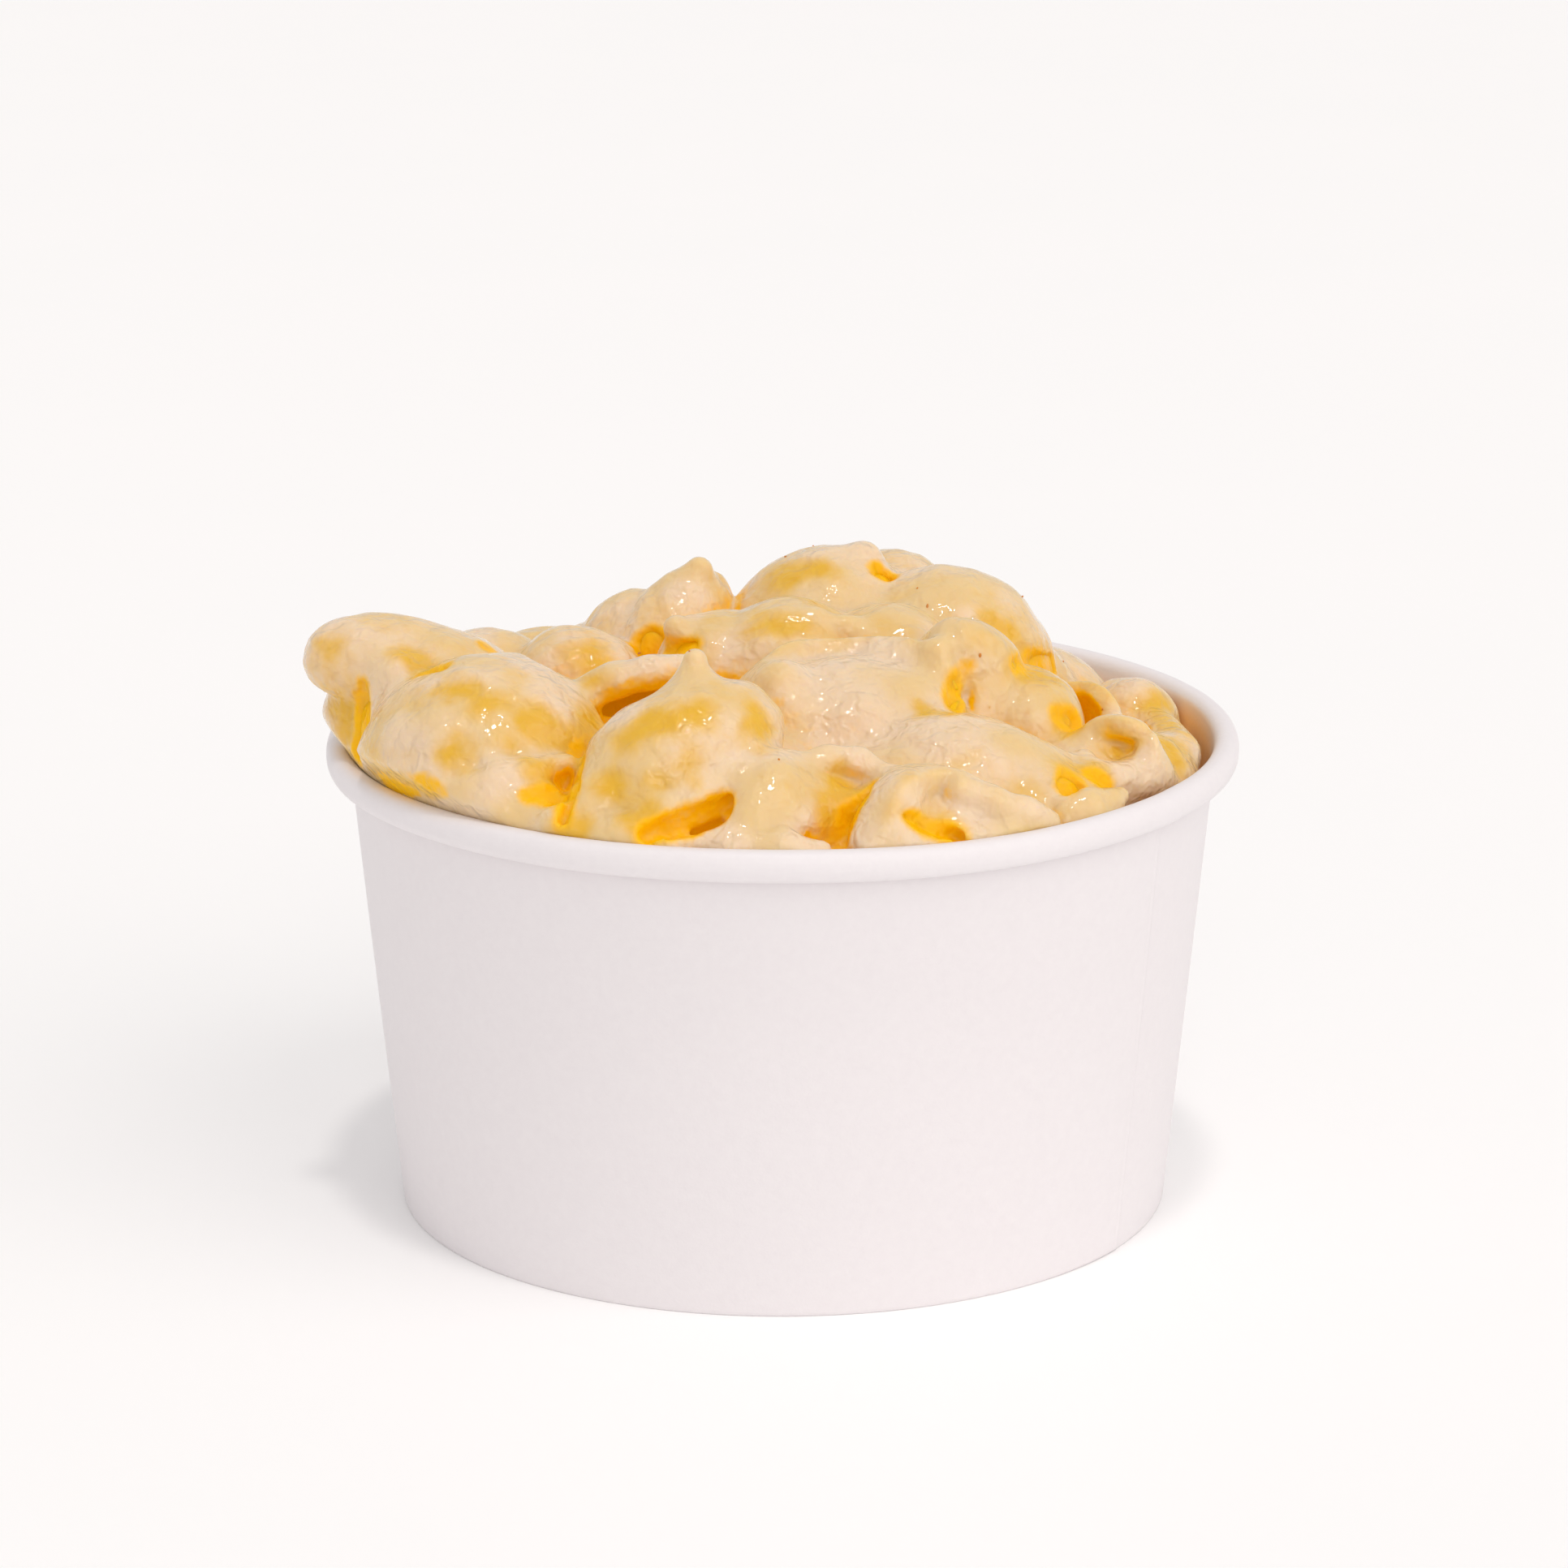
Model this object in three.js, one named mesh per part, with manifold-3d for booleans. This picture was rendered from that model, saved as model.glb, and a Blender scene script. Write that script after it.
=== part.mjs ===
// Mac and cheese in a plain paper cup: pasta shells under cheese sauce, heaped above a rolled rim.
// Millimetres, +Z up. The origin is on the table on the cup's axis, and -Y is the front.
import * as THREE from "three";
import { mergeVertices } from "three/addons/utils/BufferGeometryUtils.js";
import Module from "manifold-3d";

const wasm = await Module();
wasm.setup();

// ---- Driving dimensions ----
const rimDiameter = 114; // outside the rolled rim
const cupHeight = 60;
const footDiameter = 96.8;
const paper = 0.5; // thickness of the board, for the sidewall and the base
const rollWidth = 3.2; // the rolled rim's section, from the inside of the wall outwards
const rollHeight = 3.85;
const recess = 6; // from the table up to the underside of the base
const glueGap = 0.15; // between the glued boards
const foodGap = 0.3; // between the food and the cup
const cupSides = 64;

const pastaWall = 1.5; // thickness of a cooked shell's wall
const rowsAlong = 9; // points along and across one shell's sheet
const rowsAcross = 7;

// ---- The cup's section ----
const rimRadius = rimDiameter / 2;
const footRadius = footDiameter / 2;
const innerTop = rimRadius - rollWidth; // inside of the wall, level with the rim
const slope = (innerTop + paper - footRadius) / cupHeight;

// The inside of the sidewall at height z.
const innerRadius = (z) => footRadius - paper + slope * z;

// Points round the rolled rim, a rounded box on top of the wall, grown by margin.
// They run from its lower outside over the top to its inside.
function rollPoints(margin, count) {
  const centre = [innerTop + rollWidth / 2, cupHeight - rollHeight / 2];
  const points = [];
  for (let i = 0; i <= count; i++) {
    const angle = -0.62 * Math.PI * (1 - i / count) + 1.0 * Math.PI * (i / count);
    const squareness = 0.8;
    const c = Math.cos(angle);
    const s = Math.sin(angle);
    points.push([
      centre[0] + (rollWidth / 2 + margin) * Math.sign(c) * Math.abs(c) ** squareness,
      centre[1] + (rollHeight / 2 + margin) * Math.sign(s) * Math.abs(s) ** squareness,
    ]);
  }
  return points;
}

// A closed solid of revolution from [radius, height] points, which three.js turns round its own +Y.
function turned(profile) {
  const points = profile.map(([r, z]) => new THREE.Vector2(r, z));
  const geometry = new THREE.LatheGeometry(points, cupSides);
  geometry.rotateX(Math.PI / 2);
  return geometry;
}

// ---- Solids ----

// A three.js geometry as a manifold-3d solid, for cutting and joining.
function solid(geometry) {
  const bare = geometry.clone();
  bare.deleteAttribute("normal");
  bare.deleteAttribute("uv");
  const merged = mergeVertices(bare, 1e-4);
  const make = (triangles) =>
    new wasm.Manifold(
      new wasm.Mesh({
        numProp: 3,
        vertProperties: merged.attributes.position.array,
        triVerts: triangles,
      }),
    );
  const triangles = new Uint32Array(merged.index.array);
  const made = make(triangles);
  if (made.volume() >= 0) return made;
  return make(triangles.reverse());
}

function geometryOf(body) {
  const mesh = body.getMesh();
  const geometry = new THREE.BufferGeometry();
  geometry.setAttribute(
    "position",
    new THREE.BufferAttribute(new Float32Array(mesh.vertProperties), 3),
  );
  geometry.setIndex(new THREE.BufferAttribute(mesh.triVerts, 1));
  return geometry;
}

// ---- Cup ----

// The sidewall: one blank, rolled outwards at the rim, and turned in and up round the skirt at the foot.
function sidewallGeometry() {
  const channel = paper + 2 * glueGap;
  const hemTop = recess - 0.8;
  const inner = (z) => innerRadius(z);
  const profile = [
    [footRadius, 0],
    ...rollPoints(0, 10),
    [inner(recess + paper), recess + paper],
    [inner(0), paper],
    [inner(0) - channel, paper],
    [inner(0) - channel, hemTop],
    [inner(0) - channel - paper, hemTop],
    [inner(0) - channel - paper, 0],
    [footRadius, 0],
  ];
  return turned(profile);
}

// The base: a disc with its edge turned down into the foot.
function baseGeometry() {
  const skirtOut = innerRadius(0) - glueGap;
  const profile = [
    [0, recess],
    [skirtOut - paper, recess],
    [skirtOut - paper, paper + glueGap],
    [skirtOut, paper + glueGap],
    [skirtOut, recess + paper],
    [0, recess + paper],
  ];
  return turned(profile);
}

// ---- Pasta shells ----

// A point on the middle of a cooked shell's wall. u runs from tip to tip along X and v from lip to lip,
// both from -1 to 1. The back of the shell is up, and its mouth faces down.
function sheetPoint(s, u, v) {
  const girth = Math.sqrt(Math.max(0, 1 - (0.985 * u) ** 2));
  const wrap = s.wrap + (2.75 - s.wrap) * Math.abs(u) ** 3;
  const angle = v * wrap + s.twist * u;
  const lip = Math.abs(v) ** 4;
  const ruffle = s.ruffle * lip * girth * Math.sin(5.2 * u + 2.4 * Math.sign(v) + s.phase);
  const across = (s.wide / 2) * girth * (1 + s.flare * lip) + ruffle;
  const up = s.deep * girth * (1 + s.flare * lip) + ruffle;
  return new THREE.Vector3(
    (s.long / 2) * u,
    across * Math.sin(angle),
    up * Math.cos(angle) - s.bow * (u * u - 0.4),
  );
}

// The closed solid of one shell. Where its mouth shows it is a sheet with two faces, joined round the edge.
// Where its mouth is buried in sauce, the mouth is filled from lip to lip.
function shellGeometry(s) {
  const points = [];
  const step = 1e-3;
  const sides = s.open ? [1, -1] : [1];
  for (const side of sides)
    for (let i = 0; i < rowsAlong; i++)
      for (let j = 0; j < rowsAcross; j++) {
        const u = -Math.cos((Math.PI * i) / (rowsAlong - 1));
        const v = -1 + (2 * j) / (rowsAcross - 1);
        const middle = sheetPoint(s, u, v);
        const ahead = sheetPoint(s, Math.min(1, u + step), v);
        const behind = sheetPoint(s, Math.max(-1, u - step), v);
        const left = sheetPoint(s, u, v - step);
        const right = sheetPoint(s, u, v + step);
        const outward = ahead.sub(behind).cross(right.sub(left)).normalize();
        middle.addScaledVector(outward, (side * pastaWall) / 2);
        points.push(middle.x, middle.y, middle.z);
      }
  const at = (side, i, j) => (side * rowsAlong + i) * rowsAcross + j;
  const faces = [];
  const quad = (a, b, c, d) => faces.push(a, b, c, a, c, d);
  const lastI = rowsAlong - 1;
  const lastJ = rowsAcross - 1;
  for (let i = 0; i < lastI; i++)
    for (let j = 0; j < lastJ; j++) {
      quad(at(0, i, j), at(0, i + 1, j), at(0, i + 1, j + 1), at(0, i, j + 1));
      if (s.open) quad(at(1, i, j), at(1, i, j + 1), at(1, i + 1, j + 1), at(1, i + 1, j));
    }
  for (let i = 0; i < lastI; i++)
    if (s.open) {
      quad(at(0, i, 0), at(1, i, 0), at(1, i + 1, 0), at(0, i + 1, 0));
      quad(at(0, i, lastJ), at(0, i + 1, lastJ), at(1, i + 1, lastJ), at(1, i, lastJ));
    } else {
      quad(at(0, i, 0), at(0, i, lastJ), at(0, i + 1, lastJ), at(0, i + 1, 0));
    }
  for (let j = 0; j < lastJ; j++)
    if (s.open) {
      quad(at(0, 0, j), at(0, 0, j + 1), at(1, 0, j + 1), at(1, 0, j));
      quad(at(0, lastI, j), at(1, lastI, j), at(1, lastI, j + 1), at(0, lastI, j + 1));
    } else if (j > 0) {
      faces.push(at(0, 0, 0), at(0, 0, j), at(0, 0, j + 1));
      faces.push(at(0, lastI, 0), at(0, lastI, j + 1), at(0, lastI, j));
    }
  const geometry = new THREE.BufferGeometry();
  geometry.setAttribute("position", new THREE.Float32BufferAttribute(points, 3));
  geometry.setIndex(faces);
  const along = new THREE.Vector3(...s.along).normalize();
  const side = new THREE.Vector3(...s.back).cross(along).normalize();
  const back = along.clone().cross(side);
  const turn = new THREE.Matrix4().makeBasis(along, side, back);
  geometry.applyMatrix4(turn);
  geometry.translate(...s.at);
  return geometry;
}

// What every shell is, where its own entry does not say otherwise. wrap is half the arc its wall covers.
const cooked = {
  long: 25,
  wide: 17.5,
  deep: 7,
  wrap: 2.15,
  bow: 3.5,
  flare: 0.1,
  ruffle: 0.5,
  twist: 0.12,
  phase: 0,
  open: false,
};

// at is the middle of the shell, along its long axis, and back the way its back faces.
// open marks a mouth that shows.
const placed = [
  // Front of the heap, left to right, against the rim.
  {
    at: [-36.5, -28, 65.5], along: [1, -0.15, 0.05], back: [-0.1, -0.45, 0.88],
    long: 29, wide: 21, open: true,
  },
  {
    at: [-14, -38.5, 66.5], along: [0.7, 0.25, 0.65], back: [-0.5, -0.6, 0.6],
    long: 29, wide: 18, open: true,
  },
  {
    at: [2.5, -39, 59], along: [0.95, 0.1, 0.3], back: [-0.1, -0.5, 0.85],
    long: 18, wide: 14.5, open: true,
  },
  {
    at: [17.5, -43, 57.5], along: [1, 0.1, -0.1], back: [-0.1, 0.9, -0.35],
    long: 22, wide: 15.5, ruffle: 1, open: true,
  },
  { at: [17, -28, 58.5], along: [1, -0.2, 0.05], back: [0, -0.35, 0.93] },
  { at: [29, -29, 55], along: [0.8, 0.5, -0.1], back: [0.1, -0.4, 0.9], long: 23 },
  // Behind those.
  { at: [-16, -19, 66], along: [1, 0.15, 0.12], back: [-0.1, 0.75, 0.6], long: 24, wide: 15, open: true },
  { at: [8, -17, 66], along: [0.97, 0.05, 0.15], back: [0, 0.41, -0.91], long: 27, wide: 20, open: true },
  {
    at: [23.5, -11, 64.5], along: [0.5, 0.75, 0.45], back: [0.3, 0.6, -0.74],
    long: 22, wide: 15, ruffle: 1, open: true,
  },
  { at: [29.5, -13, 60], along: [0.3, 0.8, -0.2], back: [0.3, -0.4, 0.85], long: 20, wide: 13, ruffle: 1 },
  // Right, low against the wall.
  {
    at: [36.5, -20, 55], along: [0.55, -0.5, -0.3], back: [0.55, 0.5, 0.65],
    long: 20, wide: 14, open: true,
  },
  { at: [42.5, -13, 53.5], along: [0.35, -0.8, -0.2], back: [0.5, 0.1, 0.85], long: 20, wide: 14.5 },
  { at: [36, 3, 56], along: [0.8, 0.3, -0.3], back: [0.2, 0.1, 0.95], long: 21, wide: 15, open: true },
  { at: [45, 14, 53.5], along: [0.5, 0.8, -0.1], back: [0.2, 0.4, 0.85], long: 18, wide: 12.5, open: true },
  { at: [29, 19, 60.5], along: [0.8, -0.3, -0.45], back: [0.35, -0.3, 0.85], long: 22, wide: 15 },
  { at: [35, -34, 54.5], along: [0.7, 0.6, 0.1], back: [0.1, -0.2, 0.95], long: 13, wide: 9, deep: 4 },
  // The top.
  { at: [5, 12, 71.5], along: [0.93, 0.2, 0.15], back: [-0.2, -0.45, 0.85], long: 24, wide: 18 },
  { at: [14, 20, 70.3], along: [0.9, 0.3, -0.2], back: [0.2, -0.1, 0.95], long: 20, wide: 16 },
  { at: [22.5, 9, 68], along: [0.85, 0.1, -0.45], back: [0.3, -0.35, 0.85], long: 26, wide: 18 },
  { at: [0.5, -2, 68], along: [0.95, 0.2, 0.1], back: [0, -0.2, 0.97], long: 22, wide: 15, deep: 6 },
  { at: [13, -1, 66], along: [0.95, -0.15, 0.05], back: [0.1, -0.3, 0.93], long: 21, wide: 15 },
  { at: [-12.5, 9, 69], along: [0.3, 0.3, 0.9], back: [-0.4, -0.75, 0.4], long: 21, wide: 11, deep: 5 },
  { at: [-15.5, 13, 68], along: [0.7, 0.5, 0.1], back: [-0.2, -0.3, 0.9], long: 18, wide: 13, deep: 6 },
  {
    at: [-22.5, 1, 65], along: [0.88, 0.2, 0.35], back: [-0.15, -0.2, 0.95],
    long: 22, wide: 15, ruffle: 1, open: true,
  },
  { at: [-9, -1, 66.5], along: [0.9, -0.2, 0.05], back: [0.2, -0.3, 0.9], long: 21, wide: 14, deep: 6 },
  // Left, where one shell lies over the rim.
  {
    at: [-44.7, -10, 70.5], along: [-0.97, -0.1, 0.22], back: [-0.1, -0.1, 0.98],
    long: 26, wide: 13, deep: 5.5, bow: 0.5,
  },
  {
    at: [-49, -11, 65], along: [-0.2, 0.1, 0.95], back: [-0.7, 0.6, -0.1],
    long: 18, wide: 12, deep: 6, open: true,
  },
  { at: [-42, -12, 66.5], along: [0.6, 0.75, 0.1], back: [-0.35, -0.3, 0.87], long: 22, wide: 15 },
  { at: [-37, 6, 61.2], along: [0.9, 0.3, 0], back: [0, -0.2, 0.97], long: 22, wide: 15 },
  { at: [-30, 15, 60.2], along: [0.8, -0.4, 0.1], back: [0.1, -0.25, 0.95], long: 20, wide: 15 },
];

// ---- The heap ----

// Ellipsoids of sauce that fill the hollows between the shells: middle x, y, z, then half sizes x, y, z.
const pools = [
  [8, -18, 66, 12, 9.5, 5.5],
  [16, -29, 60, 15, 9, 6],
  [19, 8, 67, 13, 9, 6],
  [-30, -33, 57, 14, 8, 5.5],
  [-4, -35, 53, 42, 23, 5.5],
  [-36, 0, 53, 22, 34, 5.5],
  [0, 34, 51, 44, 22, 5],
  [-10, -24, 62, 18, 12, 6],
  [34, -20, 54, 10, 12, 5],
  [-30, 3, 61, 18, 14, 6],
  [10, 10, 68, 16, 12, 7],
];

// A small generator of repeatable draws between 0 and 1.
function draws(seed) {
  let state = seed;
  return () => {
    state = (state * 16807) % 2147483647;
    return state / 2147483647;
  };
}

// The back of the heap: shells in two arcs round it, each turned its own way.
function backShells() {
  const draw = draws(8847);
  const shells = [];
  const arcs = [
    { radius: 41, height: 53, from: 28, to: 182, count: 7 },
    { radius: 26, height: 60.5, from: 50, to: 165, count: 4 },
  ];
  for (const arc of arcs)
    for (let i = 0; i < arc.count; i++) {
      const angle = ((arc.from + ((arc.to - arc.from) * (i + 0.5)) / arc.count) * Math.PI) / 180;
      const turn = draw() * Math.PI;
      const lean = 0.3 + 0.4 * draw();
      shells.push({
        at: [
          arc.radius * Math.cos(angle),
          arc.radius * Math.sin(angle),
          arc.height + 3 * (draw() - 0.5),
        ],
        along: [Math.cos(turn), Math.sin(turn), 0.2 * (draw() - 0.5)],
        back: [lean * Math.cos(angle), lean * Math.sin(angle), draw() < 0.25 ? -0.9 : 0.9],
        long: 22 + 5 * draw(),
        wide: 16 + 3 * draw(),
        phase: 6 * draw(),
      });
    }
  return shells;
}

// The room the dish takes up, and everything round and under it, grown by the gap the food keeps.
function dishRoom() {
  const floor = recess + paper + foodGap;
  const upperInside = rollPoints(foodGap, 20).filter(([r, z]) => {
    return z > cupHeight - rollHeight / 2 && r < innerTop + rollWidth / 2;
  });
  return solid(
    turned([
      [0, -1],
      [90, -1],
      [90, cupHeight + foodGap],
      ...upperInside,
      [innerRadius(cupHeight - rollHeight / 2) - foodGap, cupHeight - rollHeight / 2],
      [innerRadius(floor) - foodGap, floor],
      [0, floor],
    ]),
  );
}

function heapGeometry() {
  const core = new THREE.CylinderGeometry(rimRadius - 4, rimRadius - 4, 42, 40);
  core.rotateX(Math.PI / 2);
  core.translate(0, 0, 26);
  const mound = new THREE.IcosahedronGeometry(1, 5);
  mound.scale(47, 45, 20);
  mound.translate(0, 3, 46);
  let heap = solid(core).add(solid(mound));
  for (const [x, y, z, a, b, c] of pools) {
    const pool = new THREE.IcosahedronGeometry(1, 2);
    pool.scale(a, b, c);
    pool.translate(x, y, z);
    heap = heap.add(solid(pool));
  }
  for (const own of [...placed, ...backShells()]) {
    heap = heap.add(solid(shellGeometry({ ...cooked, ...own })));
  }
  heap = heap.subtract(dishRoom());
  const bodies = heap.decompose();
  bodies.sort((a, b) => b.volume() - a.volume());
  return geometryOf(bodies[0]);
}

// ---- The part ----
const paperBoard = new THREE.MeshStandardMaterial({ color: 0xf3eef0, roughness: 0.55 });
const cheesePasta = new THREE.MeshStandardMaterial({ color: 0xf0cf8a, roughness: 0.35 });

const root = new THREE.Group();
for (const [name, geometry, material] of [
  ["cup_sidewall", sidewallGeometry(), paperBoard],
  ["cup_base", baseGeometry(), paperBoard],
  ["mac_and_cheese", heapGeometry(), cheesePasta],
]) {
  const mesh = new THREE.Mesh(geometry, material);
  mesh.name = name;
  root.add(mesh);
}

export default root;
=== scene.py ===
"""Mac and cheese in a plain paper cup: cooked pasta shells under a thick, pale cheese sauce."""

import ast
import math
import bmesh
import bpy
import numpy as np
import openvdb
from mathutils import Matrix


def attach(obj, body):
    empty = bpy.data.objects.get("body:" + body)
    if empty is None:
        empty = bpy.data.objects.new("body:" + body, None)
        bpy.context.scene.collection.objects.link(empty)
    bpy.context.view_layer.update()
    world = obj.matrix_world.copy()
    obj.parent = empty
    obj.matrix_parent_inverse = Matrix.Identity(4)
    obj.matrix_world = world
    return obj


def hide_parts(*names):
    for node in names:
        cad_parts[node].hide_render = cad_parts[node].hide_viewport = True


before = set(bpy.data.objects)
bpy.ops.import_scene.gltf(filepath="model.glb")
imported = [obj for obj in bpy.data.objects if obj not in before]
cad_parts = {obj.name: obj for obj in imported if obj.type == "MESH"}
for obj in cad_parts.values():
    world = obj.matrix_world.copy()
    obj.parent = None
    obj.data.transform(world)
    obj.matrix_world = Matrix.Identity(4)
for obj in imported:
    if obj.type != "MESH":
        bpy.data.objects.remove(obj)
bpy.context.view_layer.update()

# ---- The cup's sidewall ----
# One blank of coated white paperboard, lapped and heat-sealed in an upright seam at the front right.
# Its top edge is curled outwards into a roll, and its foot is turned in and up, round the base's skirt.

MM = 0.001
RIM_RADIUS = 57.0  # millimetres, outside the roll, as are the sizes below
CUP_HEIGHT = 60.0
FOOT_RADIUS = 48.4
BOARD = 0.5  # the paperboard's thickness
ROLL_WIDE = 3.2
ROLL_TALL = 3.85
BASE_UP = 6.0  # the base's height inside the foot
SEAM_ANGLE = math.radians(-32.5)
SEAM_STEP = 0.32  # how far the lap stands proud
SEAM_FADE = math.radians(24)  # the lap's step is lost in the wall's round over this angle

INNER_TOP = RIM_RADIUS - ROLL_WIDE
WALL_SLOPE = (INNER_TOP + BOARD - FOOT_RADIUS) / CUP_HEIGHT


def wall_inside(z):
    """The sidewall's inner radius at height z."""
    return FOOT_RADIUS - BOARD + WALL_SLOPE * z


def cup_angles():
    """Angles round the cup, closer together at the seam."""
    even = np.linspace(-math.pi, math.pi, 289)[:-1]
    lap = SEAM_ANGLE + np.radians([-1.3, -1.0, -0.8, -0.62, -0.45, -0.3, -0.15, 0.0, 0.15, 0.4])
    keep = np.abs(even - SEAM_ANGLE) > math.radians(1.5)
    return np.sort(np.concatenate([even[keep], lap]))


def roll_section():
    """The rolled rim's outline, from the wall's outer face round over the top to its inner face."""
    middle = (INNER_TOP + ROLL_WIDE / 2, CUP_HEIGHT - ROLL_TALL / 2)
    points = []
    for a in np.linspace(math.radians(-128), math.radians(180), 26):
        c, s = math.cos(a), math.sin(a)
        points.append((
            middle[0] + ROLL_WIDE / 2 * math.copysign(abs(c) ** 0.86, c),
            middle[1] + ROLL_TALL / 2 * math.copysign(abs(s) ** 0.86, s),
        ))
    return points


def sidewall_section():
    """The sidewall's closed outline as (radius, height, lap). lap is 1 where the seam stands fully proud."""

    def outer(z):
        return wall_inside(z) + BOARD

    points = [(FOOT_RADIUS - 0.12, 0.0, 0.6), (FOOT_RADIUS, 0.12, 1.0)]
    points += [(outer(z), z, 1.0) for z in (0.6, 2, 5, 7, 12, 20, 28, 36, 44, 50, 53, 54.8, 55.6)]
    points += [(outer(55.9) + 0.02, 55.95, 1.0)]
    points += [(outer(56.0) + 0.13, 56.12, 0.6), (outer(56.0) + 0.34, 56.17, 0.3)]
    points += [(r, z, 0.25) for r, z in roll_section()]
    points += [(wall_inside(z), z, 0.0) for z in (57.0, 55.0, 52.0, 47.0, 40.0, 30.0, 20.0, 12.0, 6.5, 0.5)]
    channel = BOARD + 0.3
    inside = wall_inside(0) - channel
    points += [(inside, 0.5, 0.0), (inside, BASE_UP - 0.9, 0.0), (inside - BOARD / 2, BASE_UP - 0.75, 0.0)]
    points += [(inside - BOARD, BASE_UP - 0.9, 0.0), (inside - BOARD, 0.12, 0.0)]
    points += [(inside - BOARD + 0.12, 0.0, 0.0)]
    return points


def new_object(name, data):
    """A new object of a mesh, light or camera, in the scene."""
    thing = bpy.data.objects.new(name, data)
    bpy.context.scene.collection.objects.link(thing)
    return thing


def turned_mesh(name, section, angles, bend):
    """A closed mesh of a loop of (radius, height, lap), turned through angles. bend moves each point."""
    rows = []
    for a in angles:
        for r, z, lap in section:
            r, z = bend(r, z, lap, a)
            rows.append((r * math.cos(a) * MM, r * math.sin(a) * MM, z * MM))
    n = len(section)
    faces = []
    for i in range(len(angles)):
        k = (i + 1) % len(angles)
        for j in range(n):
            m = (j + 1) % n
            faces.append((i * n + j, k * n + j, k * n + m, i * n + m))
    mesh = bpy.data.meshes.new(name)
    mesh.from_pydata(rows, [], faces)
    mesh.polygons.foreach_set("use_smooth", [True] * len(mesh.polygons))
    mesh.update()
    return new_object(name, mesh)


def cup_bend(r, z, lap, a):
    """A real cup's unevenness: a rim a little out of round, and the seam's lap with a crease along it."""
    rim = (z / CUP_HEIGHT) ** 6
    r += rim * (0.16 * math.sin(2 * a + 0.9) + 0.09 * math.sin(5 * a + 2.0) - 0.24)
    z += rim * (0.1 * math.sin(3 * a + 1.0) + 0.07 * math.sin(7 * a))
    past = a - SEAM_ANGLE
    if -SEAM_FADE < past <= 0:
        step = SEAM_STEP * (1 + past / SEAM_FADE)
        if past < -math.radians(0.5):
            step -= 0.05 * math.exp(-(((past + math.radians(0.8)) / math.radians(0.25)) ** 2))
        r += lap * step * (1 if z > 0.3 else 0.4)
    return r, z


sidewall = turned_mesh("paper_sidewall", sidewall_section(), cup_angles(), cup_bend)


def linear(hex_colour):
    """An sRGB hex colour as the linear RGBA that Blender's sockets take."""
    parts = [int(hex_colour[i : i + 2], 16) / 255 for i in (1, 3, 5)]
    return [v / 12.92 if v <= 0.04045 else ((v + 0.055) / 1.055) ** 2.4 for v in parts] + [1.0]


def new_material(name):
    """An empty node material and its output node."""
    material = bpy.data.materials.new(name)
    material.use_nodes = True
    tree = material.node_tree
    tree.nodes.clear()
    return material, tree, tree.nodes.new("ShaderNodeOutputMaterial")


def add(tree, kind, settings=None, **links):
    """Adds a node with its settings. links gives its sockets: an output is linked, and a value is set."""
    node = tree.nodes.new(kind)
    for key, value in (settings or {}).items():
        setattr(node, key, value)
    for key, value in links.items():
        name = key.replace("__", " ")
        socket = next(s for s in node.inputs if s.enabled and (s.name == name or s.identifier == name))
        if isinstance(value, bpy.types.NodeSocket):
            tree.links.new(value, socket)
        else:
            socket.default_value = value
    return node


def coated_paperboard():
    """White paperboard with a thin satin polyethylene coat, and the faint mottle of its fibres under it."""
    material, tree, out = new_material("coated_paperboard")
    where = add(tree, "ShaderNodeTexCoord").outputs["Object"]
    # Fibre flocks about 1.2 mm across, and the coat's finer tooth, drawn at 0.35 mm so that it shows.
    # A noise's scale is how many of its lumps there are in a metre.
    flocks = add(tree, "ShaderNodeTexNoise", Vector=where, Scale=820.0, Detail=3.0, Roughness=0.6)
    tooth = add(tree, "ShaderNodeTexNoise", Vector=where, Scale=2800.0, Detail=2.0, Roughness=0.5)
    cloud = add(tree, "ShaderNodeTexNoise", Vector=where, Scale=60.0, Detail=2.0, Roughness=0.5)
    tone = add(tree, "ShaderNodeMix", {"data_type": "RGBA"}, Factor_Float=flocks.outputs["Fac"],
               A_Color=linear("#e9e3e5"), B_Color=linear("#eee9ea"))
    # Painted light: the smear's orange is partly a painted reflection of the food, and lighter than the
    # wall's shade.
    smear_reflection = add(tree, "ShaderNodeAttribute", {"attribute_name": "sauce_smear_and_reflection"})
    blotch = add(tree, "ShaderNodeMapRange", Value=cloud.outputs["Fac"], From__Min=0.25, From__Max=0.5)
    smear_reflection_mask = add(tree, "ShaderNodeMath", {"operation": "MULTIPLY"}, Value=smear_reflection.outputs["Fac"],
              Value_001=blotch.outputs["Result"])
    colour = add(tree, "ShaderNodeMix", {"data_type": "RGBA"}, Factor_Float=smear_reflection_mask.outputs[0],
                 A_Color=tone.outputs["Result"], B_Color=linear("#f8c88a"))
    gloss = add(tree, "ShaderNodeMapRange", Value=flocks.outputs["Fac"], To__Min=0.40, To__Max=0.52)
    grain = add(tree, "ShaderNodeBump", Height=tooth.outputs["Fac"], Strength=0.10, Distance=0.0002)
    relief = add(tree, "ShaderNodeBump", Height=flocks.outputs["Fac"], Normal=grain.outputs["Normal"],
                 Strength=0.10, Distance=0.0004)
    board = add(tree, "ShaderNodeBsdfPrincipled", Base__Color=colour.outputs["Result"],
                Roughness=gloss.outputs["Result"], Normal=relief.outputs["Normal"],
                IOR=1.5, Specular__IOR__Level=0.45)
    tree.links.new(board.outputs["BSDF"], out.inputs["Surface"])
    return material


paperboard = coated_paperboard()
sidewall.data.materials.append(paperboard)


def vertex_rows(mesh, name):
    """The place, co, or the normal of each of a mesh's vertices, as rows."""
    values = np.zeros(len(mesh.vertices) * 3)
    mesh.vertices.foreach_get(name, values)
    return values.reshape(-1, 3)


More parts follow.
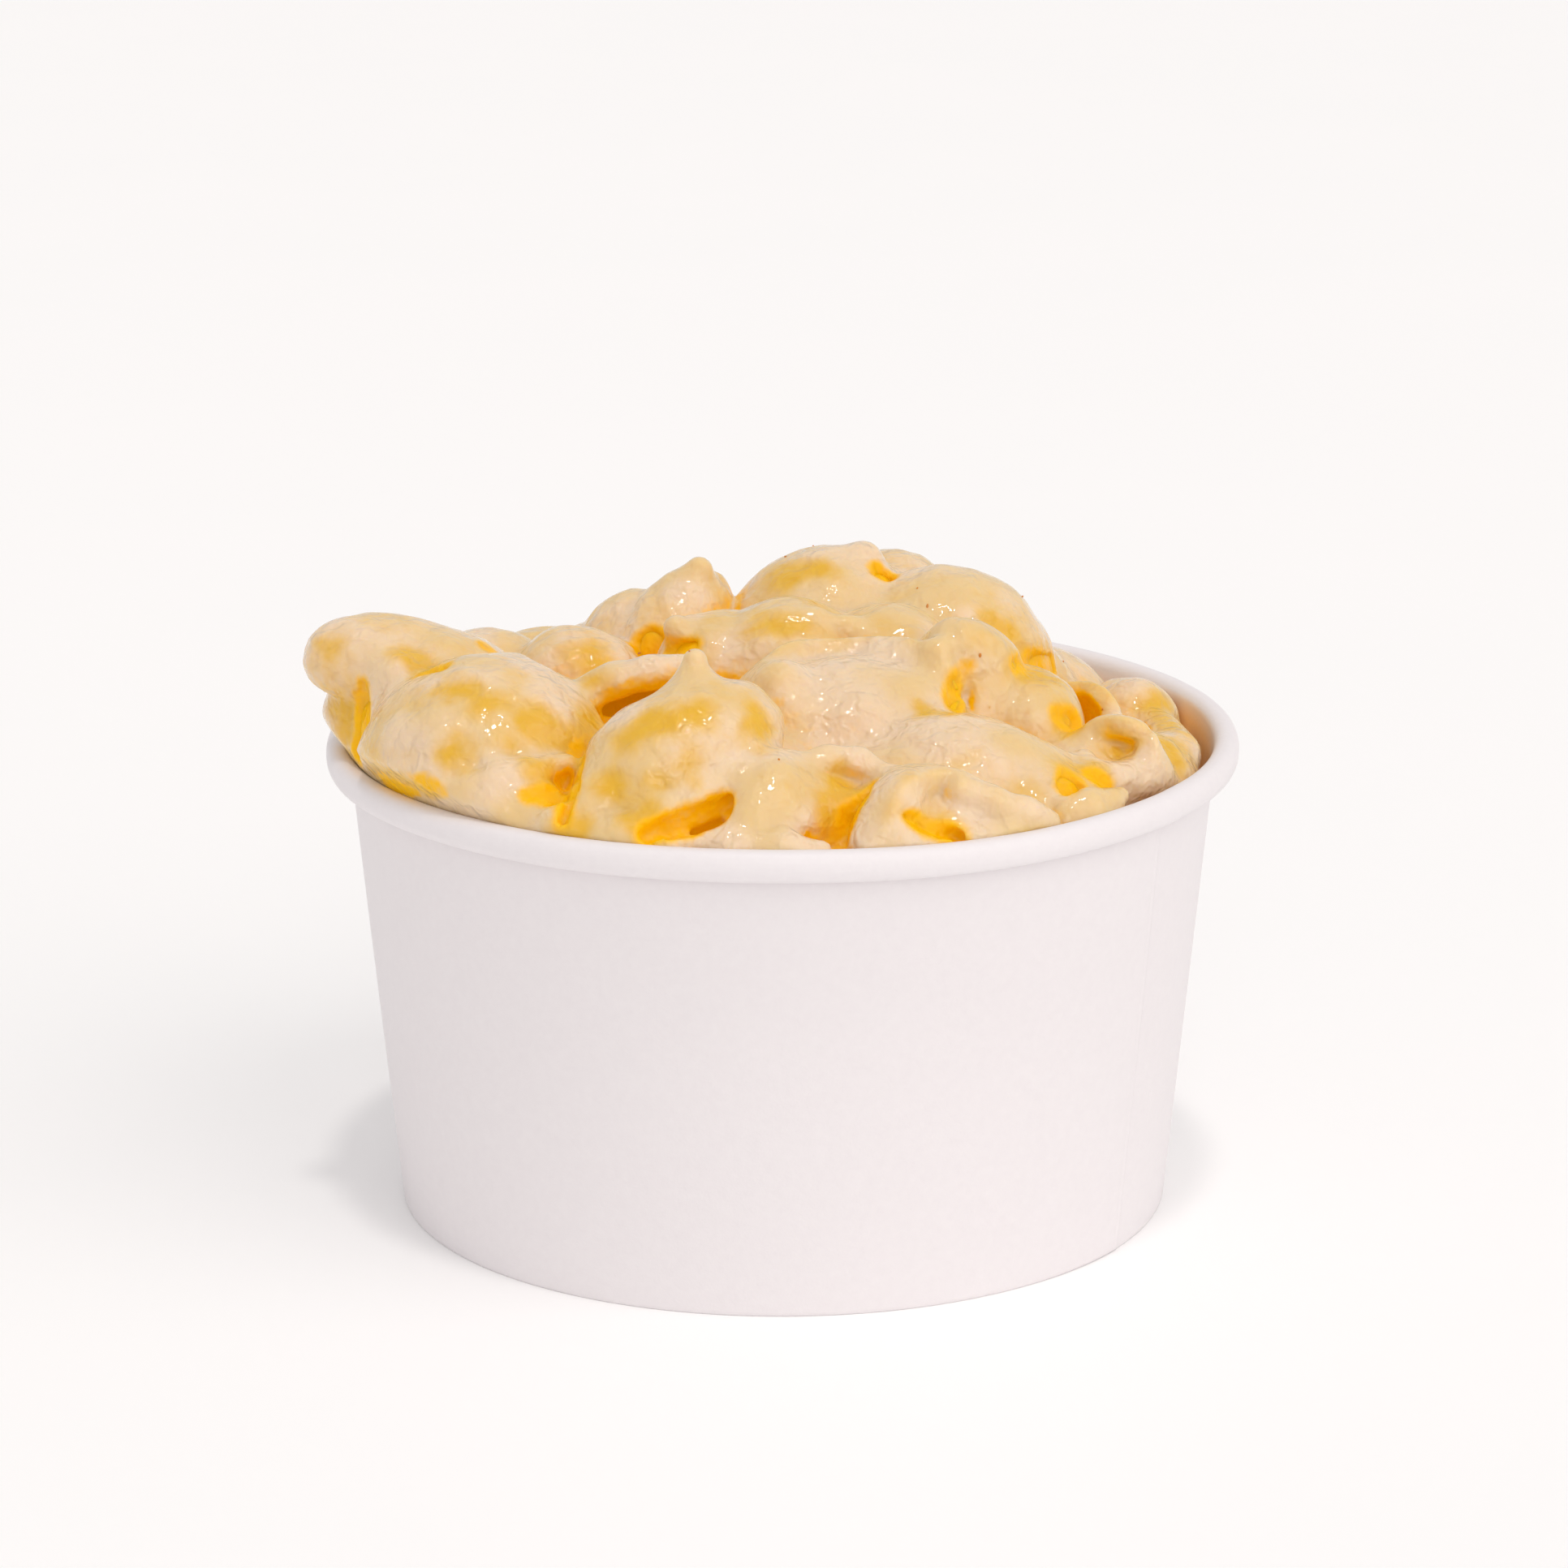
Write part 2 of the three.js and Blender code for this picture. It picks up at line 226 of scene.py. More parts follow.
def store(mesh, name, values):
    """Keeps a number for each of a mesh's vertices, for its material."""
    layer = mesh.attributes.new(name, "FLOAT", "POINT")
    layer.data.foreach_set("value", values.astype(np.float32))


# Sauce is smeared up the inside of the wall, to an uneven edge just under the top. Its orange is partly
# a painted reflection of the yellow food, and painted brighter than the shade that lies on that wall.
place = vertex_rows(sidewall.data, "co") / MM
radius = np.hypot(place[:, 0], place[:, 1])
bearing = np.degrees(np.arctan2(place[:, 1], place[:, 0]))
lap = np.tile([point[2] for point in sidewall_section()], len(cup_angles()))
on_inside = (lap < 0.3) & (radius < wall_inside(place[:, 2]) + 0.2) & (place[:, 2] > 10)
reach = np.clip((59.3 + 0.8 * np.sin(np.radians(bearing) * 7) - place[:, 2]) / 3.0, 0, 1)
store(sidewall.data, "sauce_smear_and_reflection", np.where(on_inside, reach, 0.0))

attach(sidewall, "root")
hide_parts("cup_sidewall")

# ---- The cup's base ----
# A disc of the same board, set 6 mm up inside the foot.
# Its edge is turned down into a skirt and sealed between the sidewall and its turned-in hem.

skirt = wall_inside(0) - 0.15
base_section = [(0.001, BASE_UP, 0), (20.0, BASE_UP, 0), (skirt - BOARD - 1.2, BASE_UP, 0)]
base_section += [(skirt - BOARD - 0.4, BASE_UP - 0.1, 0), (skirt - BOARD, BASE_UP - 0.6, 0)]
base_section += [(skirt - BOARD, 0.65, 0), (skirt, 0.65, 0), (skirt, BASE_UP, 0)]
base_section += [(skirt - 0.15, BASE_UP + 0.35, 0)]
base_section += [(skirt - 0.6, BASE_UP + BOARD, 0), (20.0, BASE_UP + BOARD, 0), (0.001, BASE_UP + BOARD, 0)]


def base_bend(r, z, lap, a):
    """The disc dips a little in its middle."""
    return r, z - 0.25 * max(0.0, 1 - (r / 40.0) ** 2) * (z > BASE_UP - 0.05)


base_disc = turned_mesh("paper_base", base_section, np.linspace(-math.pi, math.pi, 145)[:-1], base_bend)
shape = bmesh.new()
shape.from_mesh(base_disc.data)
bmesh.ops.remove_doubles(shape, verts=shape.verts, dist=0.00001)
bmesh.ops.dissolve_degenerate(shape, edges=shape.edges, dist=0.0000001)
bmesh.ops.recalc_face_normals(shape, faces=shape.faces)
shape.to_mesh(base_disc.data)
shape.free()
base_disc.data.materials.append(paperboard)
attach(base_disc, "root")
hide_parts("cup_base")

# ---- The pasta shells ----
# Medium pasta shells of durum wheat, boiled soft, some whole with their backs up and some lying open.
# Each was pressed through a ridged die and curled lip to lip; boiling has swollen it and waved its lips.

# A shell is long, wide and deep in millimetres. It wraps round by this many radians each way, its back bows,
# its lips flare and ruffle from a phase on, one end twists on the other, and ribs run along its wall.
COOKED = dict(
    long=25.0, wide=17.5, deep=7.0, wrap=2.15, bow=3.5, flare=0.10, ruffle=0.5, phase=0.0, twist=0.12,
    ribs=0.06, rib_pitch=1.9, wall=1.4,
)

# at is the middle of the shell in millimetres, along its long axis, and back the way its back faces.
SHELLS = [
    # The two large ones in front on the left, the second with its tip sticking up.
    dict(at=(-35.6, -27.2, 64.8), along=(1, -0.15, 0), back=(-0.1, -0.45, 0.88), long=29, wide=21,
         wrap=1.35),
    dict(at=(-13.4, -38.4, 64.5), along=(0.74, 0.25, 0.62), back=(-0.45, -0.62, 0.6), long=28, wide=15,
         deep=6.5, wrap=1.85),
    # In front: a small one, one seen into its mouth with a lip drawn out, and some under the sauce.
    dict(at=(-0.4, -41, 59.8), along=(0.9, 0, 0.25), back=(-0.15, -0.75, 0.55), long=12, wide=12, wrap=1.7),
    dict(at=(15.7, -43.5, 58.5), along=(0.85, 0.5, 0.1), back=(-0.35, 0.85, 0.3), long=17, wide=13,
         deep=5.5, wrap=1.75, flare=0.3, bow=2, ruffle=0.6),
    dict(at=(27.6, -42, 57.2), along=(0.88, 0.25, -0.35), back=(0.3, -0.2, 0.95), long=12, wide=6.5,
         deep=2.2, wrap=1.4),
    dict(at=(21, -27.4, 58.5), along=(1, -0.2, 0.05), back=(0, -0.35, 0.93)),
    dict(at=(29, -29, 55), along=(0.8, 0.5, -0.1), back=(0.1, -0.4, 0.9), long=23),
    # Open to the front: behind the two large ones, the sauce-filled one in the middle, and right of it.
    dict(at=(-17, -20, 64.9), along=(1, 0.1, 0.14), back=(-0.1, 1, -0.1), long=22, wide=14, wrap=1.75,
         bow=2),
    dict(at=(8, -17, 65.6), along=(0.97, 0.05, 0.1), back=(0, 0.75, -0.6), long=26, wide=18, deep=6.5,
         wrap=1.8, bow=2.5),
    dict(at=(22.6, -10.5, 66.4), along=(0.12, 0.2, 0.95), back=(0.5, 0.85, -0.15), long=17, wide=12.5,
         deep=6.2, wrap=2.6, ruffle=0.6, flare=0.12),
    dict(at=(30.2, -12, 61.5), along=(0.1, 0.55, 0.85), back=(0.35, -0.75, 0.4), long=18, wide=10,
         ruffle=1, ribs=0.3, deep=5),
    # Down the right side, small and partly open, to the wall.
    dict(at=(38.4, -20.6, 59.2), along=(0.65, 0.25, 0.5), back=(0.1, 0.95, -0.25), long=14, wide=9.5,
         deep=4.5, wrap=1.8),
    dict(at=(42.5, -13, 53.5), along=(0.35, -0.8, -0.2), back=(0.5, 0.1, 0.85), long=20, wide=14.5),
    dict(at=(35, -5, 61.2), along=(0.95, 0.1, 0.05), back=(0.05, 0.8, -0.6), long=11, wide=10, deep=4.5,
         wrap=1.9),
    dict(at=(44, 6, 57), along=(0.5, 0.85, 0.1), back=(0.1, -0.3, 0.95), long=13, wide=9, deep=5),
    dict(at=(44, 16, 52), along=(0.5, 0.8, -0.1), back=(0.2, 0.4, 0.85), long=18, wide=12.5),
    dict(at=(28, 19, 58), along=(0.8, -0.3, -0.45), back=(0.35, -0.3, 0.85), long=22, wide=15),
    dict(at=(35, -34, 54.5), along=(0.7, 0.6, 0.1), back=(0.1, -0.2, 0.95), long=13, wide=9, deep=4),
    # The top of the heap, on the right.
    dict(at=(5.5, 12, 70), along=(0.93, 0.2, 0.15), back=(-0.2, -0.45, 0.85), long=24, wide=18),
    dict(at=(14, 20, 68), along=(0.9, 0.3, -0.2), back=(0.2, -0.1, 0.95), long=20, wide=16),
    dict(at=(22.5, 9, 67.3), along=(0.85, 0.1, -0.45), back=(0.3, -0.35, 0.85), long=26, wide=18),
    dict(at=(0.5, -2, 68), along=(0.95, 0.2, 0.1), back=(0, -0.2, 0.97), long=22, wide=15, deep=6),
    dict(at=(13, -1, 66), along=(0.95, -0.15, 0.05), back=(0.1, -0.3, 0.93), long=21, wide=15),
    # The lower top, left of the middle, with one standing on its tip.
    dict(at=(-14.4, 9, 67.6), along=(0.42, 0.3, 0.86), back=(-0.4, -0.75, 0.4), long=21, wide=9, deep=4.5),
    dict(at=(-18, 13, 65.8), along=(0.7, 0.5, 0.1), back=(-0.2, -0.3, 0.9), long=17, wide=12, deep=6),
    dict(at=(-25.2, 1, 63.2), along=(0.88, 0.2, 0.3), back=(-0.15, -0.2, 0.95), long=18, wide=14,
         ruffle=0.8, ribs=0.12),
    dict(at=(-7.2, -1, 66.5), along=(0.9, -0.2, 0.05), back=(0.2, -0.3, 0.9), long=17, wide=14, deep=6,
         ribs=0.1),
    # The left side, one of them lying out over the rim.
    dict(at=(-44.4, -10, 69), along=(-0.95, -0.1, 0.32), back=(-0.1, -0.1, 0.98), long=26, wide=13,
         deep=5.5, bow=0.5),
    dict(at=(-48.3, -10.5, 64.5), along=(-0.15, 0.1, 0.95), back=(-0.85, 0.5, -0.1), long=17, wide=11,
         deep=5.5, wrap=1.8),
    dict(at=(-42, -12, 65.6), along=(0.6, 0.75, 0.1), back=(-0.35, -0.3, 0.87), long=22, wide=15),
    dict(at=(-37, 6, 61.2), along=(0.9, 0.3, 0), back=(0, -0.2, 0.97), long=22, wide=15),
    dict(at=(-30, 15, 59.4), along=(0.8, -0.4, 0.1), back=(0.1, -0.25, 0.95), long=20, wide=15),
]


def draws(seed):
    """Repeatable draws between 0 and 1."""
    while True:
        seed = (seed * 16807) % 2147483647
        yield seed / 2147483647


def back_shells():
    """The back of the heap: shells in two arcs round it, each turned its own way."""
    draw = draws(8847)
    shells = []
    for radius, height, start, end, count in ((41, 53, 28, 182, 7), (26, 60.5, 50, 165, 4)):
        for i in range(count):
            angle = math.radians(start + (end - start) * (i + 0.5) / count)
            turn = next(draw) * math.pi
            lean = 0.3 + 0.4 * next(draw)
            at = (radius * math.cos(angle), radius * math.sin(angle), height + 3 * (next(draw) - 0.5))
            along = (math.cos(turn), math.sin(turn), 0.2 * (next(draw) - 0.5))
            back = (lean * math.cos(angle), lean * math.sin(angle), -0.9 if next(draw) < 0.25 else 0.9)
            shells.append(dict(at=at, along=along, back=back, long=22 + 5 * next(draw),
                               wide=16 + 3 * next(draw), phase=6 * next(draw)))
    return shells


def formula(tree, text, names):
    """Math nodes for a formula, such as 'wide / 2 * sin(turn)'. names gives the socket of each word in it."""
    signs = {ast.Add: "ADD", ast.Sub: "SUBTRACT", ast.Mult: "MULTIPLY", ast.Div: "DIVIDE", ast.Pow: "POWER"}
    words = {"sin": "SINE", "cos": "COSINE", "sqrt": "SQRT", "abs": "ABSOLUTE", "sign": "SIGN"}

    def build(part):
        if isinstance(part, ast.Constant):
            return float(part.value)
        if isinstance(part, ast.Name):
            return names[part.id]
        if isinstance(part, ast.BinOp):
            kind, given = signs[type(part.op)], (part.left, part.right)
        else:
            kind, given = words[part.func.id], part.args
        node = tree.nodes.new("ShaderNodeMath")
        node.operation = kind
        for socket, value in zip(node.inputs, map(build, given)):
            if isinstance(value, float):
                socket.default_value = value
            else:
                tree.links.new(value, socket)
        return node.outputs[0]

    return build(ast.parse(text).body[0].value)


def new_geometry_tree(name, inputs):
    """A Geometry Nodes tree with inputs, given by kind, and a geometry output. Returns it and its inputs."""
    tree = bpy.data.node_groups.new(name, "GeometryNodeTree")
    tree.interface.new_socket("Geometry", in_out="OUTPUT", socket_type="NodeSocketGeometry")
    for kind, names in inputs.items():
        for each in names:
            tree.interface.new_socket(each, in_out="INPUT", socket_type="NodeSocket" + kind)
    return tree, tree.nodes.new("NodeGroupInput").outputs


def end_tree(tree, shape, material):
    """Ends a Geometry Nodes tree: its instances are realized and its material is set."""
    real = add(tree, "GeometryNodeRealizeInstances", Geometry=shape)
    ready = add(tree, "GeometryNodeSetMaterial", Geometry=real.outputs[0], Material=material)
    tree.links.new(ready.outputs[0], tree.nodes.new("NodeGroupOutput").inputs[0])


def input_names(tree):
    """The identifier of each of a tree's inputs, by its name."""
    return {item.name: item.identifier for item in tree.interface.items_tree if item.in_out == "INPUT"}


def mesh_made(thing):
    """A plain mesh of what an object's modifiers make."""
    bpy.context.view_layer.update()
    return bpy.data.meshes.new_from_object(thing.evaluated_get(bpy.context.evaluated_depsgraph_get()))


def shell_tree():
    """A Geometry Nodes tree for one shell: a sheet, curled lip to lip, thickened, turned and put in place."""
    tree, given = new_geometry_tree("pasta_shell", {
        "Float": COOKED, "Int": ("rows", "columns"), "Vector": ("at", "along", "back"),
        "Material": ("Material",)})
    grid = add(tree, "GeometryNodeMeshGrid", Size__X=2.0, Size__Y=2.0,
               Vertices__X=given["rows"], Vertices__Y=given["columns"])
    flat = add(tree, "ShaderNodeSeparateXYZ", Vector=add(tree, "GeometryNodeInputPosition").outputs[0])
    names = {name: given[name] for name in COOKED}
    names["v"] = flat.outputs["Y"]
    names["x"] = flat.outputs["X"]
    for name, text in (
        ("u", "sin(x * 1.5707963)"),
        ("girth", "sqrt(1 - (0.985 * u) ** 2)"),
        ("turn", "v * (wrap + (2.75 - wrap) * abs(u) ** 3) + twist * u"),
        ("lip", "abs(v) ** 4"),
        ("wave", "ruffle * lip * girth * sin(5.2 * u + 2.4 * sign(v) + phase)"),
        ("ridge", "ribs * girth * cos(v * 3.1416 * wide * 1.9 / rib_pitch)"),
        ("across", "(wide / 2 * girth * (1 + flare * lip) + wave + ridge) * sin(turn)"),
        ("up", "(deep * girth * (1 + flare * lip) + wave + ridge) * cos(turn) - bow * (u * u - 0.4)"),
        ("out", "long / 2 * u"),
        ("in_half", "wall * (0 - 0.5)"),
    ):
        names[name] = formula(tree, text, names)
    spot = add(tree, "ShaderNodeCombineXYZ", X=names["out"], Y=names["across"], Z=names["up"])
    curled = add(tree, "GeometryNodeSetPosition", Geometry=grid.outputs["Mesh"], Position=spot.outputs[0])
    way = add(tree, "GeometryNodeInputNormal").outputs[0]
    half = add(tree, "ShaderNodeVectorMath", {"operation": "SCALE"}, Vector=way, Scale=names["in_half"])
    inner = add(tree, "GeometryNodeSetPosition", Geometry=curled.outputs[0], Offset=half.outputs[0])
    outer = add(tree, "GeometryNodeExtrudeMesh", {"mode": "FACES"}, Mesh=inner.outputs[0],
                Offset__Scale=given["wall"], Individual=False)
    turned = add(tree, "GeometryNodeFlipFaces", Mesh=inner.outputs[0])
    both = add(tree, "GeometryNodeJoinGeometry", Geometry=turned.outputs[0])
    tree.links.new(outer.outputs["Mesh"], both.inputs[0])
    closed = add(tree, "GeometryNodeMergeByDistance", Geometry=both.outputs[0], Distance=0.001)
    axes = add(tree, "FunctionNodeAxesToRotation", {"primary_axis": "X", "secondary_axis": "Z"},
               Primary__Axis=given["along"], Secondary__Axis=given["back"])
    laid = add(tree, "GeometryNodeTransform", Geometry=closed.outputs[0], Translation=given["at"],
               Rotation=axes.outputs[0], Scale=(MM, MM, MM))
    end_tree(tree, laid.outputs[0], given["Material"])
    return tree


def cooked_and_sauced(name, thin, thick, pale, hollow_shade, glow):
    """Wet cooked pasta or the sauce on it. thin, thick and pale are its hex colours by how the sauce lies;
    the colour after them is painted shade, laid deep between shells. glow is how far red, green and blue
    light spread, in mm."""
    material, tree, out = new_material(name)
    where = add(tree, "ShaderNodeTexCoord").outputs["Object"]
    depth = add(tree, "ShaderNodeAttribute", {"attribute_name": "sauce_depth"}).outputs["Fac"]
    shade = add(tree, "ShaderNodeAttribute", {"attribute_name": "hollow_shade"}).outputs["Fac"]
    # Curds of sauce 3 to 6 mm across make the film patchy.
    patches = add(tree, "ShaderNodeTexNoise", Vector=where, Scale=190.0, Detail=3.0, Roughness=0.55,
                  Distortion=0.5)
    mottle = add(tree, "ShaderNodeTexNoise", Vector=where, Scale=520.0, Detail=2.0, Roughness=0.6)
    names = {"patches": patches.outputs["Fac"], "mottle": mottle.outputs["Fac"], "depth": depth}
    # Painted shade: deep between shells, where the heap hides the light, the colour is mixed towards the
    # orange given for hollows, broken up by the curds and the mottle.
    hidden = formula(tree, "shade + (mottle - 0.5) * 0.5 + (patches - 0.5) * 0.5", {**names, "shade": shade})
    uneven = formula(tree, "depth * 1.1 + (patches - 0.5) * 1.1 + (mottle - 0.5) * 0.5", names)
    smooth = {"interpolation_type": "SMOOTHSTEP"}
    cream = add(tree, "ShaderNodeMapRange", smooth, Value=uneven, From__Min=-0.3, From__Max=1.05)
    # The sauce dries into a skin here and there, which is paler.
    skin = add(tree, "ShaderNodeTexNoise", Vector=where, Scale=95.0, Detail=1.0)
    paler = add(tree, "ShaderNodeMapRange", smooth, Value=skin.outputs["Fac"], From__Min=0.38, From__Max=0.64)
    full = add(tree, "ShaderNodeMix", {"data_type": "RGBA"}, Factor_Float=paler.outputs["Result"],
               A_Color=linear(thick), B_Color=linear(pale))
    film = add(tree, "ShaderNodeMix", {"data_type": "RGBA"}, Factor_Float=cream.outputs["Result"],
               A_Color=linear(thin), B_Color=full.outputs["Result"])
    inside = add(tree, "ShaderNodeMapRange", smooth, Value=hidden, From__Min=0.22, From__Max=0.72)
    colour = add(tree, "ShaderNodeMix", {"data_type": "RGBA"}, Factor_Float=inside.outputs["Result"],
                 A_Color=film.outputs["Result"], B_Color=linear(hollow_shade))
    # The skin wrinkles, in ripples 1.6 mm apart over lumps 3 mm apart.
    ripples = add(tree, "ShaderNodeTexNoise", Vector=where, Scale=620.0, Detail=1.0, Roughness=0.5,
                  Distortion=0.5)
    lumps = add(tree, "ShaderNodeTexNoise", Vector=where, Scale=330.0, Detail=2.0, Roughness=0.5,
                Distortion=0.4)
    wrinkled = add(tree, "ShaderNodeMapRange", Value=skin.outputs["Fac"], From__Min=0.42, From__Max=0.62,
                   To__Min=0.28, To__Max=0.8)
    fine = add(tree, "ShaderNodeBump", Height=ripples.outputs["Fac"], Strength=wrinkled.outputs["Result"],
               Distance=0.0007)
    relief = add(tree, "ShaderNodeBump", Height=lumps.outputs["Fac"], Normal=fine.outputs["Normal"],
                 Strength=0.55, Distance=0.0012)
    gloss = add(tree, "ShaderNodeMapRange", Value=patches.outputs["Fac"], To__Min=0.22, To__Max=0.42)
    # The wet coat takes the ripples. Deep in the hollows the coat is thinned as painted shade, so they
    # reflect less, and a faint
    # yellow glow is painted on: painted light for what soaks through thin pasta and bounces between the
    # shells.
    names["inside"] = inside.outputs["Result"]
    body = add(tree, "ShaderNodeBsdfPrincipled", Base__Color=colour.outputs["Result"],
               Roughness=gloss.outputs["Result"], Normal=relief.outputs["Normal"],
               IOR=1.42, Specular__IOR__Level=0.2,
               Subsurface__Weight=0.6, Subsurface__Radius=[c * MM for c in glow], Subsurface__Scale=1.0,
               Coat__Weight=formula(tree, "0.7 * (1 - inside)", names), Coat__Roughness=0.06,
               Coat__Normal=fine.outputs["Normal"], Emission__Color=linear("#ffd000"),
               Emission__Strength=formula(tree, "inside * 0.08", names))
    tree.links.new(body.outputs["BSDF"], out.inputs["Surface"])
    return material


wet_pasta = cooked_and_sauced("wet_cooked_durum_pasta", thin="#e4b22e", thick="#e0b658", pale="#e2bc70",
                              hollow_shade="#f0b404", glow=(1.0, 0.8, 0.4))
holder = new_object("one_shell", bpy.data.meshes.new("one_shell"))
maker = holder.modifiers.new("shell", "NODES")
maker.node_group = shell_tree()
sockets = input_names(maker.node_group)
every_shell = []  # each shell's points in millimetres and its four-sided faces
shape = bmesh.new()
for number, own in enumerate(SHELLS + back_shells()):
    fine = number < len(SHELLS)
    given = {**COOKED, **own, "rows": 43 if fine else 27, "columns": 31 if fine else 21,
             "Material": wet_pasta}
    given["at"] = tuple(c * MM for c in given["at"])
    for name, value in given.items():
        if isinstance(value, tuple):
            value = [float(c) for c in value]
        elif isinstance(value, (int, float)) and name not in ("rows", "columns"):
            value = float(value)
        maker[sockets[name]] = value
    holder.update_tag()
    one = mesh_made(holder)
    loops = np.zeros(len(one.loops), np.int32)
    one.loops.foreach_get("vertex_index", loops)
    points = vertex_rows(one, "co").astype(np.float32) / MM
    every_shell.append((points, loops.reshape(-1, 4).astype(np.uint32)))
    shape.from_mesh(one)
    bpy.data.meshes.remove(one)
bpy.data.objects.remove(holder)
pasta_mesh = bpy.data.meshes.new("pasta_shells")
shape.to_mesh(pasta_mesh)
shape.free()
pasta_mesh.materials.append(wet_pasta)
pasta_mesh.polygons.foreach_set("use_smooth", [True] * len(pasta_mesh.polygons))
pasta_shells = new_object("pasta_shells", pasta_mesh)

# A shell that leans on the cup is pressed flat against the wall, and above the rim it may lean out.
co = vertex_rows(pasta_mesh, "co") / MM
r = np.hypot(co[:, 0], co[:, 1])
above = co[:, 2] - CUP_HEIGHT
room = wall_inside(CUP_HEIGHT + np.minimum(above, 0)) - 0.25
room = room + 0.7 * np.clip(above, 0, 4) + 1.2 * np.maximum(above - 4, 0)
co[:, :2] *= np.minimum(1, room / np.maximum(r, 1))[:, None]
pasta_mesh.vertices.foreach_set("co", (co * MM).ravel())
pasta_mesh.update()
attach(pasta_shells, "root")
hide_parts("mac_and_cheese")

# ---- The cheese sauce ----
# A thick sauce of cheese, milk and butter that the shells were stirred into and spooned up with.
# It fills the cup under them, lies in pools between them, and clings to each in an uneven film.

VOXEL = 0.42  # millimetres
DETAIL_FROM = 46.0  # below this height the sauce is plain, hidden in the cup
LOW = np.array([-60.5, -55.5, DETAIL_FROM])
HIGH = np.array([56.0, 55.5, 83.5])
SIZE = tuple(np.ceil((HIGH - LOW) / VOXEL).astype(int))
BAND = 8  # voxels of true distance either side of a shell's wall
SAUCE_TRIANGLES = 192000


def window(low, high):
    """The part of the heap's grid between two corners, as slices, or None where it is outside."""
    a = np.maximum(np.floor((low - LOW) / VOXEL).astype(int), 0)
    b = np.minimum(np.ceil((high - LOW) / VOXEL).astype(int) + 1, SIZE)
    return None if (b <= a).any() else tuple(slice(i, j) for i, j in zip(a, b))


def positions(part):
    """The three coordinates of a window's points, ready to broadcast."""
    x, y, z = (LOW[k] + VOXEL * np.arange(part[k].start, part[k].stop) for k in range(3))
    return x[:, None, None], y[None, :, None], z[None, None, :]


def melt(a, b, width):
    """The nearer of two distances, with a fillet of about width where they meet."""
    blend = np.maximum(width - np.abs(a - b), 0) / width
    return np.minimum(a, b) - blend * blend * width / 4


def clouds(shape, cell, seed):
    """Soft repeatable noise from -1 to 1 on the grid, with lumps about cell millimetres across."""
    rng = np.random.default_rng(seed)
    field = rng.uniform(-1, 1, [int(n * VOXEL / cell) + 3 for n in shape]).astype(np.float32)
    for axis, n in enumerate(shape):
        t = np.arange(n) * VOXEL / cell
        i = t.astype(int)
        f = t - i
        f = (f * f * (3 - 2 * f)).astype(np.float32)
        f = f.reshape([-1 if k == axis else 1 for k in range(3)])
        field = np.take(field, i, axis) * (1 - f) + np.take(field, i + 1, axis) * f
    return field


def lump(field, middle, half, width):
    """Melts an ellipsoid, with half sizes half, into the field."""
    middle, half = np.array(middle, float), np.array(half, float)
    part = window(middle - half - 4, middle + half + 4)
    px, py, pz = positions(part)
    dx, dy, dz = px - middle[0], py - middle[1], pz - middle[2]
    k0 = np.sqrt((dx / half[0]) ** 2 + (dy / half[1]) ** 2 + (dz / half[2]) ** 2)
    k1 = np.sqrt((dx / half[0] ** 2) ** 2 + (dy / half[1] ** 2) ** 2 + (dz / half[2] ** 2) ** 2) + 1e-6
    field[part] = melt(field[part], (k0 * (k0 - 1) / k1).astype(np.float32), width)


def rope(field, points, width):
    """Melts a rounded cord through points of (x, y, z, radius) into the field; width < 0 cuts it out."""
    cut = width < 0
    width = abs(width)
    points = np.array(points, float)
    for start, end in zip(points[:-1], points[1:]):
        big = max(start[3], end[3]) + 4
        part = window(np.minimum(start, end)[:3] - big, np.maximum(start, end)[:3] + big)
        px, py, pz = positions(part)
        run = end[:3] - start[:3]
        t = ((px - start[0]) * run[0] + (py - start[1]) * run[1] + (pz - start[2]) * run[2]) / (run @ run)
        t = np.clip(t, 0, 1)
        gap = np.sqrt(sum((p - s - t * d) ** 2 for p, s, d in zip((px, py, pz), start, run)))
        gap = (gap - start[3] - t * (end[3] - start[3])).astype(np.float32)
        if cut:
            field[part] = -melt(-field[part], gap, width)
        else:
            field[part] = melt(field[part], gap, width)


far = VOXEL * BAND
pasta = np.full(SIZE, far, np.float32)
for points, faces in every_shell:
    part = window(points.min(0) - far, points.max(0) + far)
    if part is None:
        continue
    grid = openvdb.FloatGrid.createLevelSetFromPolygons(
        (points - LOW).astype(np.float32), quads=faces, transform=openvdb.createLinearTransform(VOXEL),
        halfWidth=float(BAND))
    near = np.full([p.stop - p.start for p in part], far, np.float32)
    grid.copyToArray(near, ijk=tuple(p.start for p in part))
    pasta[part] = melt(pasta[part], near, 0.5)

# A mound under the shells, and pools between them: middle and half sizes.
MOUND = ((0, 3, 46), (47, 45, 20))
POOLS = [
    ((8, -18, 66), (12, 9.5, 5.5)), ((16, -29, 60), (15, 9, 6)), ((19, 8, 67), (13, 9, 6)),
    ((-30, -33, 57), (14, 8, 5.5)), ((-4, -35, 53), (42, 23, 5.5)), ((-36, 0, 53), (22, 34, 5.5)),
    ((0, 34, 51), (44, 22, 5)), ((-10, -24, 62), (18, 12, 6)), ((34, -20, 54), (10, 12, 5)),
    ((-30, 3, 61), (18, 14, 6)), ((10, 10, 68), (16, 12, 7)), ((-35.5, -27, 62), (12.5, 14.5, 6)),
    ((-12.5, -35, 61.5), (10, 11.5, 6.5)),
]
